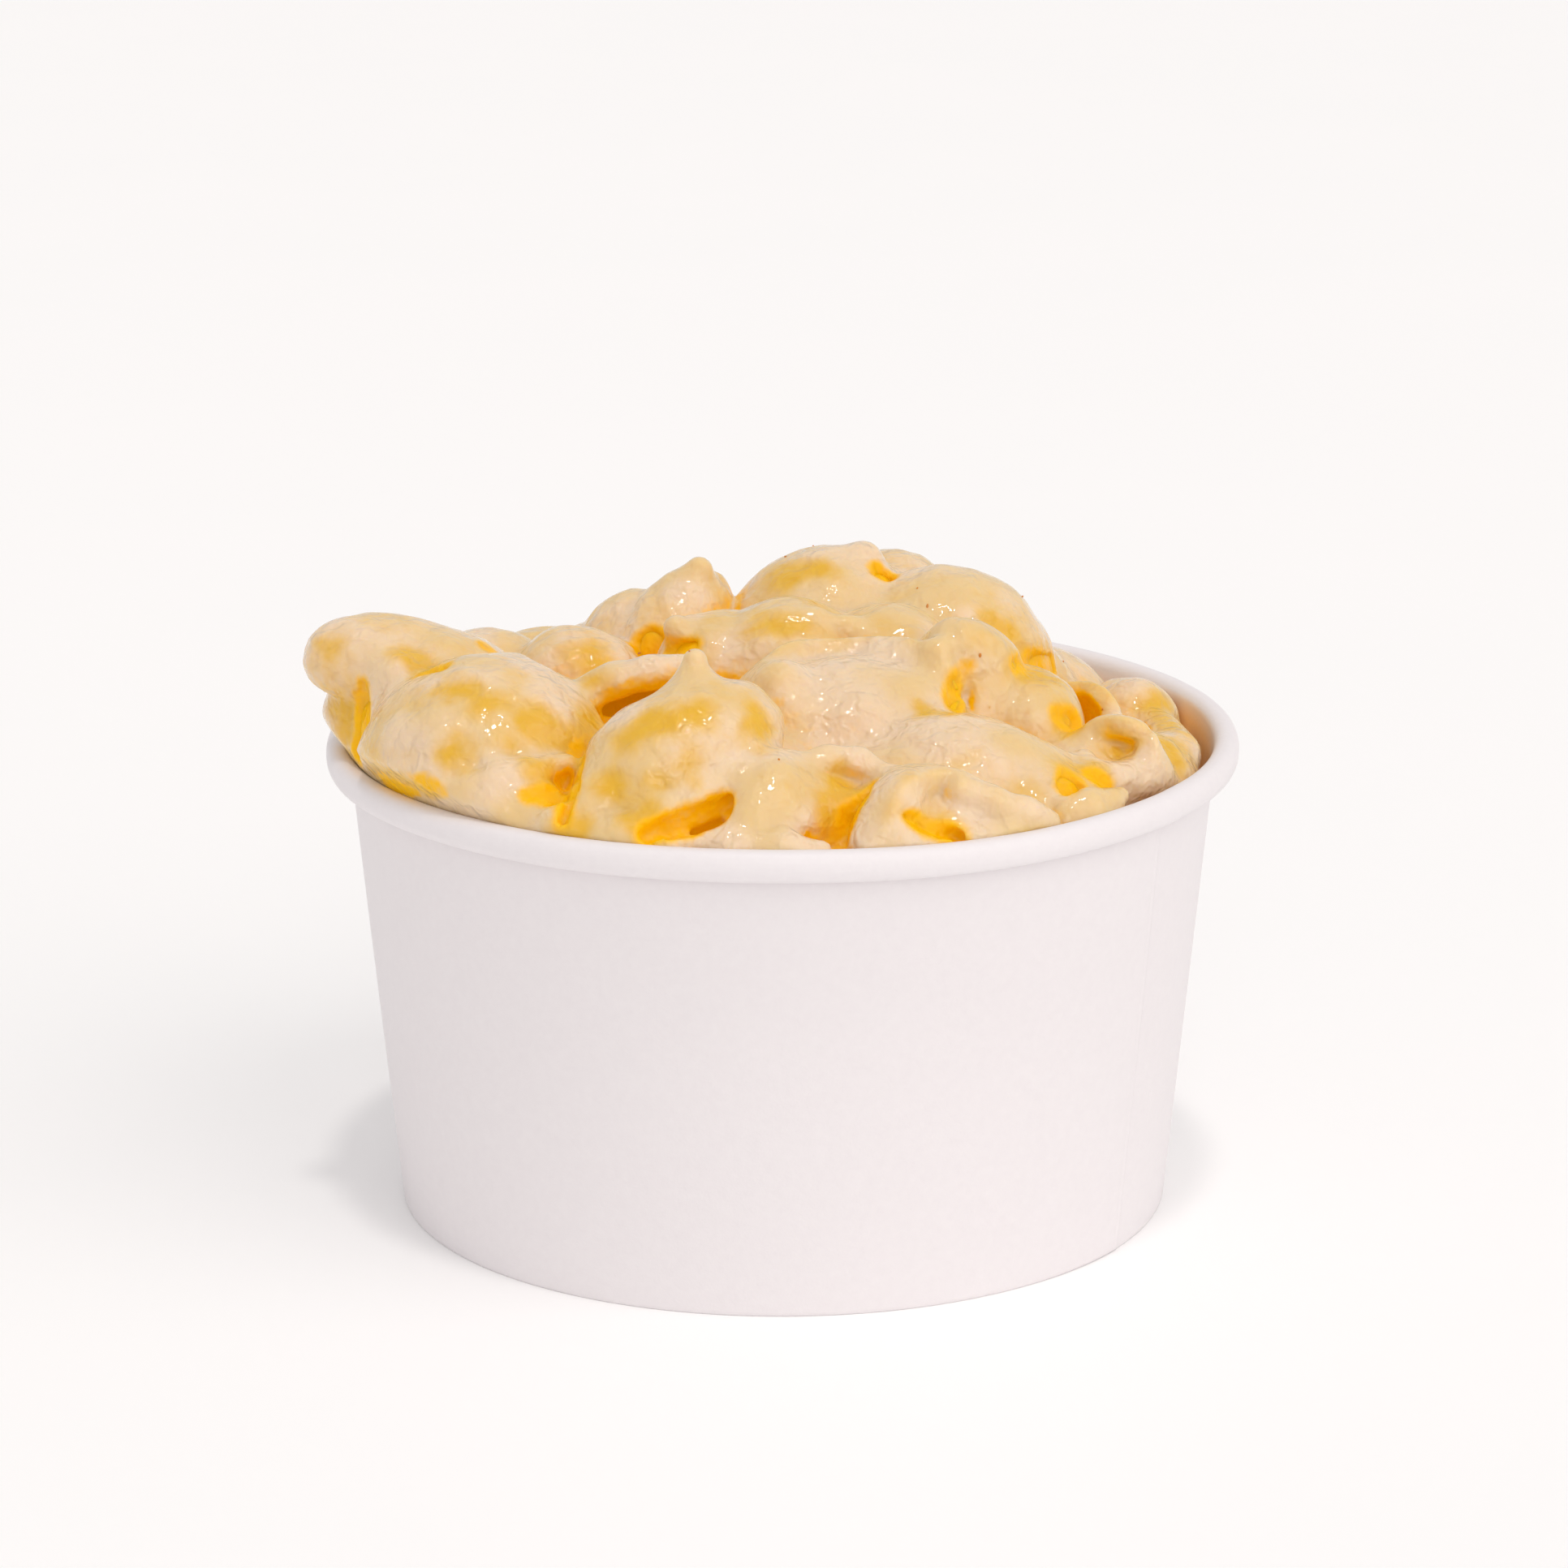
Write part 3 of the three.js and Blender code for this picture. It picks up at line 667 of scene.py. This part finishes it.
# Drips, tips and curds of sauce, each a cord through (x, y, z, radius).
LUMPS = [
    # Under the first large shell, flush with the rim, and its front lip.
    [(-50, -18, 60.6, 2.4), (-46, -27, 60.4, 2.4), (-40.5, -34.5, 60.2, 2.2), (-34, -41, 60, 2)],
    [(-39, -37, 61, 2.2), (-33.5, -40, 61.4, 3), (-28.6, -41.2, 61.8, 2.7)],
    [(-36.5, -40, 63.8, 0.7), (-33, -40.2, 64.9, 0.9), (-30, -39.6, 65.2, 0.9), (-25.5, -37.4, 66, 0.7)],
    # The tip of the second one, its right side and lower lip, and the curds at its foot and left of it.
    [(-10.5, -34.5, 72.6, 3.6), (-10.3, -33.5, 77.2, 1.5)],
    [(-5.5, -33.5, 71.5, 2.2), (-3.5, -34, 66.5, 2.4)],
    [(-3.6, -41.5, 67.5, 1.9), (-5.8, -44, 65.2, 2), (-10, -46, 63.8, 1.9), (-14, -47.8, 62.2, 1.7),
     (-18, -48.6, 60.8, 1.5)],
    [(-13, -50.5, 59.4, 1.6), (-9, -50.5, 59.6, 1.6)],
    [(-31, -42.6, 59.8, 1.7), (-25, -46.2, 59.8, 1.7), (-20, -48.6, 59.7, 1.6), (-14, -50.6, 59.5, 1.5)],
    [(-6, -51.6, 59.3, 1.6), (0, -52.1, 59.3, 1.6), (4.5, -51.8, 59.1, 1.2)],
    [(10, -51, 59.3, 1.5), (14, -50.4, 59.3, 1.5), (20, -48.6, 59.3, 1.5), (26, -45.8, 59.2, 1.5)],
    [(-25.6, -45.6, 60.2, 2.4), (-22, -44, 63, 3)],
    # The finger of sauce left of the small shell, and its lip over the hollow on its right.
    [(-5, -50, 60, 2.3), (-3.4, -48, 62.2, 2.1), (-3.6, -46.6, 64.2, 1.5)],
    [(0.5, -41.5, 66, 1.2), (5.4, -39.4, 66.6, 1.3), (9, -39.4, 66.4, 1.2), (12, -40.5, 65.2, 1)],
    [(0.5, -43, 61, 3.6), (4, -42.4, 60.8, 3.4), (7.2, -41.6, 60.2, 3.6)],
    # In the mouth of the ring of pasta at the rim, and the lip drawn out on its right.
    [(12.6, -48.4, 60, 2.8), (13.8, -47.6, 63, 2.4)],
    [(16.5, -44, 59.6, 4.2), (20, -44, 59, 4), (23, -43.5, 58, 3.4)],
    [(21, -46, 65, 1.2), (25, -45, 63.2, 1), (28.5, -44, 61.8, 0.9), (31.8, -42.5, 60.2, 0.6)],
    # The left end of the shell above the small ones, and its band of sauce.
    [(-23.6, -22.8, 70, 1.3), (-19.9, -22.2, 71.8, 1.5), (-15.8, -21.6, 72.7, 1.5),
     (-11.5, -21, 73.2, 1.3)],
    # Sauce in the mouth of the shell in the middle, and down from it.
    [(-0.2, -20.7, 70.6, 3.3), (0.2, -21.6, 67.4, 4)],
    [(12, -13.6, 72.2, 1.2), (15, -13.6, 72.2, 1.2)],
    [(0.5, -18, 65.4, 6.8), (8, -16.5, 65.6, 6.6), (15, -17.5, 65.6, 6.4)],
    [(18, -27, 63, 5), (27, -28, 61.5, 4.5), (31, -26, 60.5, 4)],
    # The folded lip right of it, and what closes its slit.
    [(19.2, -15.2, 73.8, 1.5), (19.4, -16, 71.6, 1.3)],
    [(21, -12.4, 74.4, 1.8), (21.8, -11.8, 70.5, 3.4), (22.3, -11.2, 66, 3.8)],
    # A ridge between the two openings by the rim on the right, and white curds below them.
    [(36.6, -24.5, 62.6, 1.1), (37.4, -28, 60.8, 1.3), (37, -31.5, 59.2, 1.4)],
    [(33.8, -37.6, 59.4, 1.3), (33.8, -37, 59.8, 1.2)],
    [(36.6, -36.2, 60.3, 1.5), (37, -35.6, 60.5, 1.3)],
    [(36.8, -19.6, 60.2, 3.4), (41.4, -18.8, 59.6, 3.2)],
    [(40.2, -26, 59.9, 2.5), (45, -21.4, 59.3, 2.6)],
    [(39.6, -33.6, 60, 1.2), (40.4, -32.6, 60.2, 1)],
    # On the left: the knob that lies out over the rim, and lobes behind the first shell.
    [(-55, -10.8, 72, 2.9), (-54.2, -10.8, 71.4, 2.9)],
    [(-48.7, -15.5, 72, 1.6), (-49.6, -17, 66.8, 1.4)],
    [(-46, -14, 70, 2.4), (-41, -12, 70.6, 2.2)],
    [(-44.5, -31, 67.4, 1.9), (-40.5, -34.2, 68.2, 1.9)],
    [(-46.6, -18, 71.4, 2.6), (-45.6, -19.5, 68, 3.4)],
    # Lumps on the top, and the knob of the highest shell.
    [(-13.2, -3, 73.6, 1.5), (-12, -1.5, 72.6, 1.5)],
    [(10.4, 13, 78.6, 2), (9, 13, 76, 2.6)],
    [(-11.6, 10, 75.6, 2.4), (-10.4, 10.2, 77.8, 1.6)],
    [(47, -1, 58.8, 3.2), (49, -8, 58.6, 2.8)],
    [(0, -4, 74.6, 0.5), (4.2, -4.5, 75, 0.5), (8.2, -4.5, 74.2, 0.5), (9.8, -5, 72.8, 0.4)],
]
# The hollows between and inside the shells. Round each, the colour is also deepened as painted shade.
DENTS = [
    [(-45.6, -37.2, 63.4, 0.7), (-43.2, -39, 63.2, 1.1), (-41.4, -40.2, 62.8, 1.1)],
    [(-30, -43.4, 63.6, 0.4), (-27, -42.6, 63.9, 0.7), (-25.2, -41.2, 64.2, 0.9)],
    [(-15.6, -50.8, 60.8, 1.1), (-13.3, -50.4, 61.3, 1.4), (-11, -49.8, 61.9, 1.5),
     (-7.5, -48.2, 62.8, 1.5), (-5.8, -46.6, 63.6, 1)],
    [(-24.2, -26, 66.8, 1.9), (-19.5, -24, 66.8, 2.4), (-12.5, -22.5, 68, 2)],
    [(10.6, -44, 64.6, 0.6), (9.4, -45.6, 63.2, 1.3), (8.6, -46.4, 61.4, 1.7), (7.8, -47.6, 59.6, 1.7)],
    [(22.6, -16.8, 72.2, 0.5), (21.8, -18.8, 70.4, 1.3), (21, -20.8, 68.8, 1.2)],
    [(-16.9, 0, 73, 1.3), (-16.6, 2, 70.4, 1.9), (-16.2, 1.5, 68.8, 1.9)],
    [(-15, -4.5, 71, 1.1), (-10.8, -5.6, 71.4, 1)],
    [(12.5, 9.4, 77.7, 1), (13.2, 10, 76.4, 1.1)],
    [(-43.2, -22.6, 73.1, 0.7), (-40.7, -25.3, 74.4, 0.7)],
    [(-35.9, -12.4, 74.2, 0.8), (-34.4, -12, 74.3, 0.8)],
    [(31.7, 2, 67.8, 1.2), (34.3, 8.5, 65.6, 1.2)],
    [(33.8, -31.4, 64.4, 0.3), (34.5, -33.6, 62, 1.6), (34.2, -36.4, 60.2, 0.7)],
    [(37.2, -30.4, 62.8, 0.8), (39.4, -30.8, 61.2, 1)],
    [(-50.8, -17.6, 70.2, 0.4), (-51.4, -18.4, 67.4, 1.6), (-52, -20, 63.2, 2.2)],
    [(13.8, -50.2, 63, 0.2), (16.6, -50, 61.8, 0.8), (20.4, -49, 59.8, 1)],
    [(-24, -39.5, 67, 0.6), (-24.4, -44.6, 64.6, 0.6), (-25.6, -47.6, 61.6, 0.6)],
    [(-30, -43.8, 64.7, 0.4), (-28.2, -44.1, 64.2, 0.8), (-26.4, -43.8, 63.6, 1.5)],
    [(28.8, -12.8, 71.4, 0.8), (31, -9.6, 71.6, 1)],
    [(34.2, -17.4, 66.4, 1.1), (36.2, -15.8, 65, 1.3)],
]
# Where the film of sauce has run off and the yellow of the pasta shows through; a few are painted shade,
# yellow laid on shell flanks that lie in shadow.
BARE_AND_SHADED = [
    [(-39.8, -30.9, 73.5, 0.3), (-36.5, -32, 73.2, 0.3)],
    [(-35, -33.6, 72.6, 0.3), (-32.5, -34, 72.2, 0.3)],
    [(-38.8, -38, 67.3, 0.3), (-36.8, -38.9, 66.4, 0.3)],
    [(-29, -35.1, 70, 1.8), (-24.9, -34.2, 67.3, 2)],
    [(-29.4, -40.6, 67.6, 1.2), (-27.6, -41, 66.4, 1.7), (-27, -42, 64, 2)],
    [(-23.6, -30, 68.4, 0.8), (-24, -38, 66.4, 0.5)],
    [(-32, -39.6, 68.4, 0.9), (-27, -38, 68.6, 1.2)],
    [(-45.5, -18, 73.6, 0.8), (-43.4, -20.6, 73, 1)],
    [(-55.6, -12.5, 73.4, 0.5), (-54, -13.2, 74, 0.5)],
    [(39.6, -22.6, 63.4, 1.4), (41, -21.5, 62.8, 1.4)],
    [(39.5, -31, 61, 1.2), (40.6, -31.4, 60.4, 1)],
    [(-15, -43.2, 72, 0.7), (-10, -42.4, 73.9, 0.8)],
    [(-18.3, -43.8, 70.2, 0.5), (-17, -43.6, 71.2, 0.5)],
    [(-2.6, -40.6, 71.3, 0.8), (-2.6, -42.7, 69.3, 0.6)],
    [(-13.6, -47.2, 66.2, 0.6), (-11.4, -47.2, 66.8, 0.6)],
    [(-17.4, -49.3, 62.6, 1.4), (-15.6, -49.5, 63, 1.4)],
    [(-20, -46.4, 65.6, 0.3), (-19.6, -46.8, 64.4, 0.3)],
    [(-25.6, -47.6, 60.6, 1), (-24, -48, 60.6, 1)],
    [(-3, -7.4, 74.6, 0.4), (2, -7, 75.2, 0.3)],
    # Painted shade: yellow on the flank of the low shell on the left, in the shadow of the arm above it.
    [(-53.4, -15.5, 66, 1.6), (-52.6, -16.6, 62.5, 2)],
    [(-22.4, -6, 69.6, 1.4), (-22.6, -23, 72, 0.8)],
    [(34.5, -31, 62.6, 1.4), (36.6, -29, 62.4, 1.4), (38.6, -31, 61, 1.2)],
    [(-27, -4.8, 72.2, 0.3), (-21.9, -4.3, 71.2, 0.4)],
    [(-12.8, -6.1, 71.3, 0.8), (-10.8, -6.5, 71.6, 0.8)],
    [(17.6, -25.1, 68.4, 1.3), (18.9, -25.4, 67.6, 1.3)],
    [(21.4, -19.4, 70.6, 0.8), (21.2, -21, 68.6, 0.8)],
    [(18.9, -25.8, 68.2, 0.6), (19.5, -25, 67.9, 0.6)],
    [(26.8, 1.8, 72.4, 0.8), (28.2, 2, 71.8, 0.8)],
    [(0.6, 7.8, 77.4, 0.5), (5, 7.4, 78.4, 0.4)],
    [(29.5, -13.2, 70.2, 1.5), (31.6, -9.4, 70.4, 1.6), (33.4, -4.5, 69.6, 1.6)],
    [(34.8, -17.2, 65.4, 1.2), (35.6, -16.4, 65, 1.2)],
    [(47, -0.6, 61.6, 2.2), (49.4, -6, 60.8, 2.2)],
    [(31, 2.2, 68.2, 1.8), (34.5, 9.1, 65.4, 1.8)],
    [(46.6, -15.4, 61.7, 2), (48.4, -13, 61.6, 2)],
    [(16, -48.8, 61.8, 1.5), (18.8, -48.2, 60.4, 1.8)],
    # Painted shade: yellow on the small shell's right flank, where it falls into shadow.
    [(7.4, -43.2, 64.2, 1.4), (6.8, -45.2, 62, 2), (6.4, -46.6, 60.2, 1.8)],
]
x, y, z = positions(tuple(slice(0, n) for n in SIZE))
sauce = np.minimum(np.full(SIZE, 20.0, np.float32), (z - 47.0).astype(np.float32))
for middle, half in [MOUND] + POOLS:
    lump(sauce, middle, half, 3.0)
sauce += 0.45 * clouds(SIZE, 5.0, 3) + 0.16 * clouds(SIZE, 1.9, 4)
# The film is 0.6 mm thick on average, and uneven in lumps from 7.5 down to 1.6 mm across.
film = 0.60
for depth, cell, seed in ((0.34, 7.5, 1), (0.24, 3.2, 2), (0.16, 5.0, 6), (0.12, 1.6, 5)):
    film = film + depth * clouds(SIZE, cell, seed)
bare_and_shaded = np.full(SIZE, 9.0, np.float32)
for points in BARE_AND_SHADED:
    rope(bare_and_shaded, points, 1.0)
bare_and_shaded = bare_and_shaded + 1.1 * clouds(SIZE, 3.4, 8) + 0.6 * clouds(SIZE, 1.6, 9)
film = np.maximum(film - 0.3 * np.clip(1 - bare_and_shaded / 2.0, 0, 1), 0.08).astype(np.float32)
food = melt(pasta - film, sauce, 2.4)
# Sauce is held in the narrow gaps between shells.
held = pasta.copy()
for axis in (0, 0, 1, 1, 2, 2):
    total = held
    for step in (1, -1, 2, -2):
        total = total + np.roll(held, step, axis)
    held = total / 5
food = melt(food, held - 0.1, 1.2)
for points in LUMPS:
    rope(food, points, 2.4)
# dented keeps how near each point lies to a dent, for the painted shade.
dented = np.full(SIZE, 9.0, np.float32)
for points in DENTS:
    rope(food, points, -0.8)
    rope(dented, points, 0.5)

# It fills the cup to the wall, and above the rim it may lean out over the roll.
r = np.sqrt(x * x + y * y)
in_cup = r - (wall_inside(z) - 0.08)
crest = RIM_RADIUS - ROLL_WIDE / 2
arch = np.sqrt(np.clip(1 - ((r - crest) / (ROLL_WIDE / 2)) ** 2, 0, 1))
roll_top = CUP_HEIGHT - ROLL_TALL / 2 + ROLL_TALL / 2 * arch
past = r - INNER_TOP - 0.7
over_rim = np.where(r < crest, roll_top, CUP_HEIGHT) + 0.1
over_rim = over_rim + 1.3 * np.clip(past, 0, 3) + 0.8 * np.maximum(past - 3, 0) - z
food = -melt(-food, -np.minimum(in_cup, over_rim).astype(np.float32), 0.9)

# Below the detail the layers are thicker, and the lowest closes the sauce on the base.
FLOOR = BASE_UP + BOARD + 0.12
deep_z = np.concatenate([[FLOOR - 0.8], np.linspace(FLOOR + 0.6, DETAIL_FROM - 3.0, 12)])
deep = np.stack([np.maximum(r[..., 0] - (wall_inside(h) - 0.08), FLOOR - h) for h in deep_z], -1)
deep = deep.astype(np.float32)
heights = np.concatenate([deep_z, z.ravel()])
whole = np.pad(np.concatenate([deep, food], 2), 2, constant_values=3.0)
level = openvdb.FloatGrid(3.0)
level.copyFromArray(np.ascontiguousarray(np.clip(whole, -3, 3)))
vertices, quads = level.convertToQuads(isovalue=0.0)
index = vertices - 2
spread = np.interp(index[:, 2], np.arange(len(heights)), heights)
vertices = np.stack([LOW[0] + VOXEL * index[:, 0], LOW[1] + VOXEL * index[:, 1], spread], -1)

mesh = bpy.data.meshes.new("cheese_sauce")
mesh.from_pydata(vertices * MM, [], quads[:, ::-1].tolist())
mesh.update()
cheese_sauce = new_object("cheese_sauce", mesh)

# Only the largest of its loose parts is kept.
shape = bmesh.new()
shape.from_mesh(mesh)
seen = set()
islands = []
for start in shape.verts:
    if start.index in seen:
        continue
    stack, island = [start], []
    seen.add(start.index)
    while stack:
        vertex = stack.pop()
        island.append(vertex)
        for e in vertex.link_edges:
            other = e.other_vert(vertex)
            if other.index not in seen:
                seen.add(other.index)
                stack.append(other)
    islands.append(island)
islands.sort(key=len)
for island in islands[:-1]:
    bmesh.ops.delete(shape, geom=island, context="VERTS")
bmesh.ops.recalc_face_normals(shape, faces=shape.faces)
shape.to_mesh(mesh)
shape.free()
thin = cheese_sauce.modifiers.new("thin", "DECIMATE")
thin.ratio = min(1.0, SAUCE_TRIANGLES / (2 * len(mesh.polygons)))
lighter = mesh_made(cheese_sauce)
cheese_sauce.modifiers.remove(thin)
cheese_sauce.data = lighter
lighter.name = "cheese_sauce"
lighter.polygons.foreach_set("use_smooth", [True] * len(lighter.polygons))


def read(field, points):
    """A grid's values at points in millimetres."""
    t = np.clip((points - LOW) / VOXEL, 0, np.array(SIZE) - 1.001)
    i = t.astype(int)
    f = t - i
    total = 0
    for corner in range(8):
        bit = [(corner >> k) & 1 for k in range(3)]
        weight = np.prod([f[:, k] if bit[k] else 1 - f[:, k] for k in range(3)], 0)
        total = total + weight * field[i[:, 0] + bit[0], i[:, 1] + bit[1], i[:, 2] + bit[2]]
    return total


def openness(solid, points, normals):
    """How much of the light over each point reaches it past the heap round it, from 0 to 1."""
    count = 26
    turn = np.arange(count) * math.pi * (3 - math.sqrt(5))
    up = 1 - (2 * np.arange(count) + 1) / count
    level = np.sqrt(1 - up**2)
    ways = np.stack([np.cos(turn) * level, np.sin(turn) * level, up], 1).astype(np.float32)
    start = ((points + normals * 0.9 - LOW) / VOXEL).astype(np.float32)
    lit, total = np.zeros(len(points), np.float32), np.zeros(len(points), np.float32)
    edge = np.array(SIZE) - 1
    for way in ways:
        weight = np.maximum(normals @ way, 0).astype(np.float32) * (0.35 if way[2] < -0.15 else 1.0)
        clear = weight > 0.02
        for reach in (0.7, 1.6, 2.8, 4.2, 6.0, 8.5, 11.5, 15.0):
            i = np.clip(start[clear] + way * (reach / VOXEL), 0, edge).astype(np.int32)
            clear[clear] = ~solid[i[:, 0], i[:, 1], i[:, 2]]
        lit += weight * clear
        total += weight
    return lit / np.maximum(total, 1e-6)


# How thick the sauce lies over the pasta, for the materials, and, for their painted shade, how little light
# reaches each point past the heap and how near it lies to a dent.
solid = np.minimum(food, pasta) < 0
for target in (lighter, pasta_mesh):
    co = vertex_rows(target, "co") / MM
    light_in = openness(solid, co, vertex_rows(target, "normal"))
    run_off_and_shade = np.clip(0.9 - read(bare_and_shaded, co) / 3.4, 0, 1)
    depth = np.minimum(read(pasta, co), 1.2) * (1 - 0.85 * run_off_and_shade) - 0.25 * run_off_and_shade
    shade = np.maximum(1 - light_in, 0.66 * np.clip(1.2 - read(dented, co) / 1.5, 0, 1))
    store(target, "sauce_depth", depth)
    store(target, "hollow_shade", shade)

lighter.materials.clear()
lighter.materials.append(cooked_and_sauced("cheese_sauce", thin="#e5b32e", thick="#e6c68e", pale="#ebd0ae",
                                           hollow_shade="#f0b404", glow=(1.6, 1.3, 0.7)))
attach(cheese_sauce, "root")
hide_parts("mac_and_cheese")

# ---- The flecks ----
# Flecks of paprika and browned cheese, 0.2 to 0.7 mm across, stirred in with the sauce and stuck to it.
# They lie scattered over the sauce above the rim, and one has dropped on the rim.


def fleck_tree():
    """A Geometry Nodes tree that strews flecks over a mesh and adds one more at a given place."""
    tree, given = new_geometry_tree("strewn_flecks", {
        "Geometry": ("Geometry",), "Float": ("per_square_metre", "above", "radius"), "Int": ("seed",),
        "Vector": ("dropped",), "Material": ("Material",)})
    place = add(tree, "ShaderNodeSeparateXYZ", Vector=add(tree, "GeometryNodeInputPosition").outputs[0])
    high = add(tree, "FunctionNodeCompare", {"operation": "GREATER_THAN"},
               A=place.outputs["Z"], B=given["above"])
    strewn = add(tree, "GeometryNodeDistributePointsOnFaces", Mesh=given["Geometry"],
                 Selection=high.outputs[0], Density=given["per_square_metre"], Seed=given["seed"])
    extra = add(tree, "GeometryNodePoints", Count=1, Position=given["dropped"])
    spots = add(tree, "GeometryNodeJoinGeometry", Geometry=extra.outputs[0])
    tree.links.new(strewn.outputs["Points"], spots.inputs[0])
    crumb = add(tree, "GeometryNodeMeshIcoSphere", Radius=given["radius"], Subdivisions=2)
    sizes = add(tree, "FunctionNodeRandomValue", {"data_type": "FLOAT_VECTOR"},
                Min=(0.6, 0.5, 0.4), Max=(1.7, 1.0, 0.7), Seed=given["seed"])
    turns = add(tree, "FunctionNodeRandomValue", {"data_type": "FLOAT_VECTOR"},
                Max=(6.28, 6.28, 6.28), Seed=given["seed"])
    laid = add(tree, "GeometryNodeInstanceOnPoints", Points=spots.outputs[0], Instance=crumb.outputs["Mesh"],
               Rotation=turns.outputs["Value"], Scale=sizes.outputs["Value"])
    end_tree(tree, laid.outputs[0], given["Material"])
    return tree


paprika, tree, out = new_material("paprika_fleck")
where = add(tree, "ShaderNodeTexCoord").outputs["Object"]
grains = add(tree, "ShaderNodeTexNoise", Vector=where, Scale=900.0, Detail=2.0)
tone = add(tree, "ShaderNodeMix", {"data_type": "RGBA"}, Factor_Float=grains.outputs["Fac"],
           A_Color=linear("#b86a1c"), B_Color=linear("#e89a3c"))
rough = add(tree, "ShaderNodeBump", Height=grains.outputs["Fac"], Strength=0.5, Distance=0.0003)
fleck = add(tree, "ShaderNodeBsdfPrincipled", Base__Color=tone.outputs["Result"],
            Normal=rough.outputs["Normal"], Roughness=0.45)
tree.links.new(fleck.outputs["BSDF"], out.inputs["Surface"])

specks = new_object("specks", lighter.copy())
maker = specks.modifiers.new("flecks", "NODES")
maker.node_group = fleck_tree()
sockets = input_names(maker.node_group)
for name, value in (("per_square_metre", 1300.0), ("above", 0.0615), ("radius", 0.00021), ("seed", 5),
                    ("dropped", [0.0381, -0.0389, 0.0592]), ("Material", paprika)):
    maker[sockets[name]] = value
specks.update_tag()
flecks = mesh_made(specks)
specks.modifiers.remove(maker)
specks.data = flecks
flecks.name = "specks"
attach(specks, "root")
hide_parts("mac_and_cheese")

# ---- Table, light and camera ----
# A pale matt table top under a white studio, with a broad soft light from the right, a small one nearly
# overhead and a weak one in front. The camera stands 0.7 m off and looks down on the rim by 16 degrees.

bpy.ops.mesh.primitive_plane_add(size=6.0, location=(0, 1.2, 0))
table = bpy.context.object
table.name = "table_top"
table_matt, tree, out = new_material("pale_matt_table")
where = add(tree, "ShaderNodeTexCoord").outputs["Object"]
cloudy = add(tree, "ShaderNodeTexNoise", Vector=where, Scale=14.0, Detail=3.0)
tone = add(tree, "ShaderNodeMix", {"data_type": "RGBA"}, Factor_Float=cloudy.outputs["Fac"],
           A_Color=linear("#fdfdfd"), B_Color=linear("#fffefe"))
top = add(tree, "ShaderNodeBsdfPrincipled", Base__Color=tone.outputs["Result"], Roughness=0.5,
          Specular__IOR__Level=0.3)
tree.links.new(top.outputs["BSDF"], out.inputs["Surface"])
table.data.materials.append(table_matt)

world = bpy.data.worlds.new("studio")
world.use_nodes = True
world.node_tree.nodes["Background"].inputs["Color"].default_value = linear("#fdfbfb")
world.node_tree.nodes["Background"].inputs["Strength"].default_value = 0.70
bpy.context.scene.world = world

# Each light's name, its angle to the right of the camera, height and softness in degrees, and strength.
LIGHTS = (("side_key", 50, 38, 60, 0.80), ("top_light", 8, 78, 5, 0.48), ("front_fill", 0, 25, 20, 0.22))
for name, side, height, soft, strength in LIGHTS:
    light = bpy.data.lights.new(name, "SUN")
    light.angle = math.radians(soft)
    light.energy = strength
    light.color = linear("#fffaf5")[:3]
    lamp = new_object(name, light)
    lamp.rotation_euler = (math.radians(90 - height), 0, math.radians(side))

view = bpy.data.cameras.new("front")
view.sensor_width = 36.0
view.lens = 7000.0 / 1932.0 * view.sensor_width  # 7000 pixels over a frame 1932 pixels wide
view.clip_start = 0.01
view.clip_end = 20.0
eye = new_object("front", view)
eye.location = (0.0, -0.68515, 0.24576)
eye.rotation_euler = [math.radians(turn) for turn in (74.253, 0.145, -0.058)]
bpy.context.scene.camera = eye
bpy.context.scene.view_settings.view_transform = "Standard"
bpy.context.scene.view_settings.look = "None"
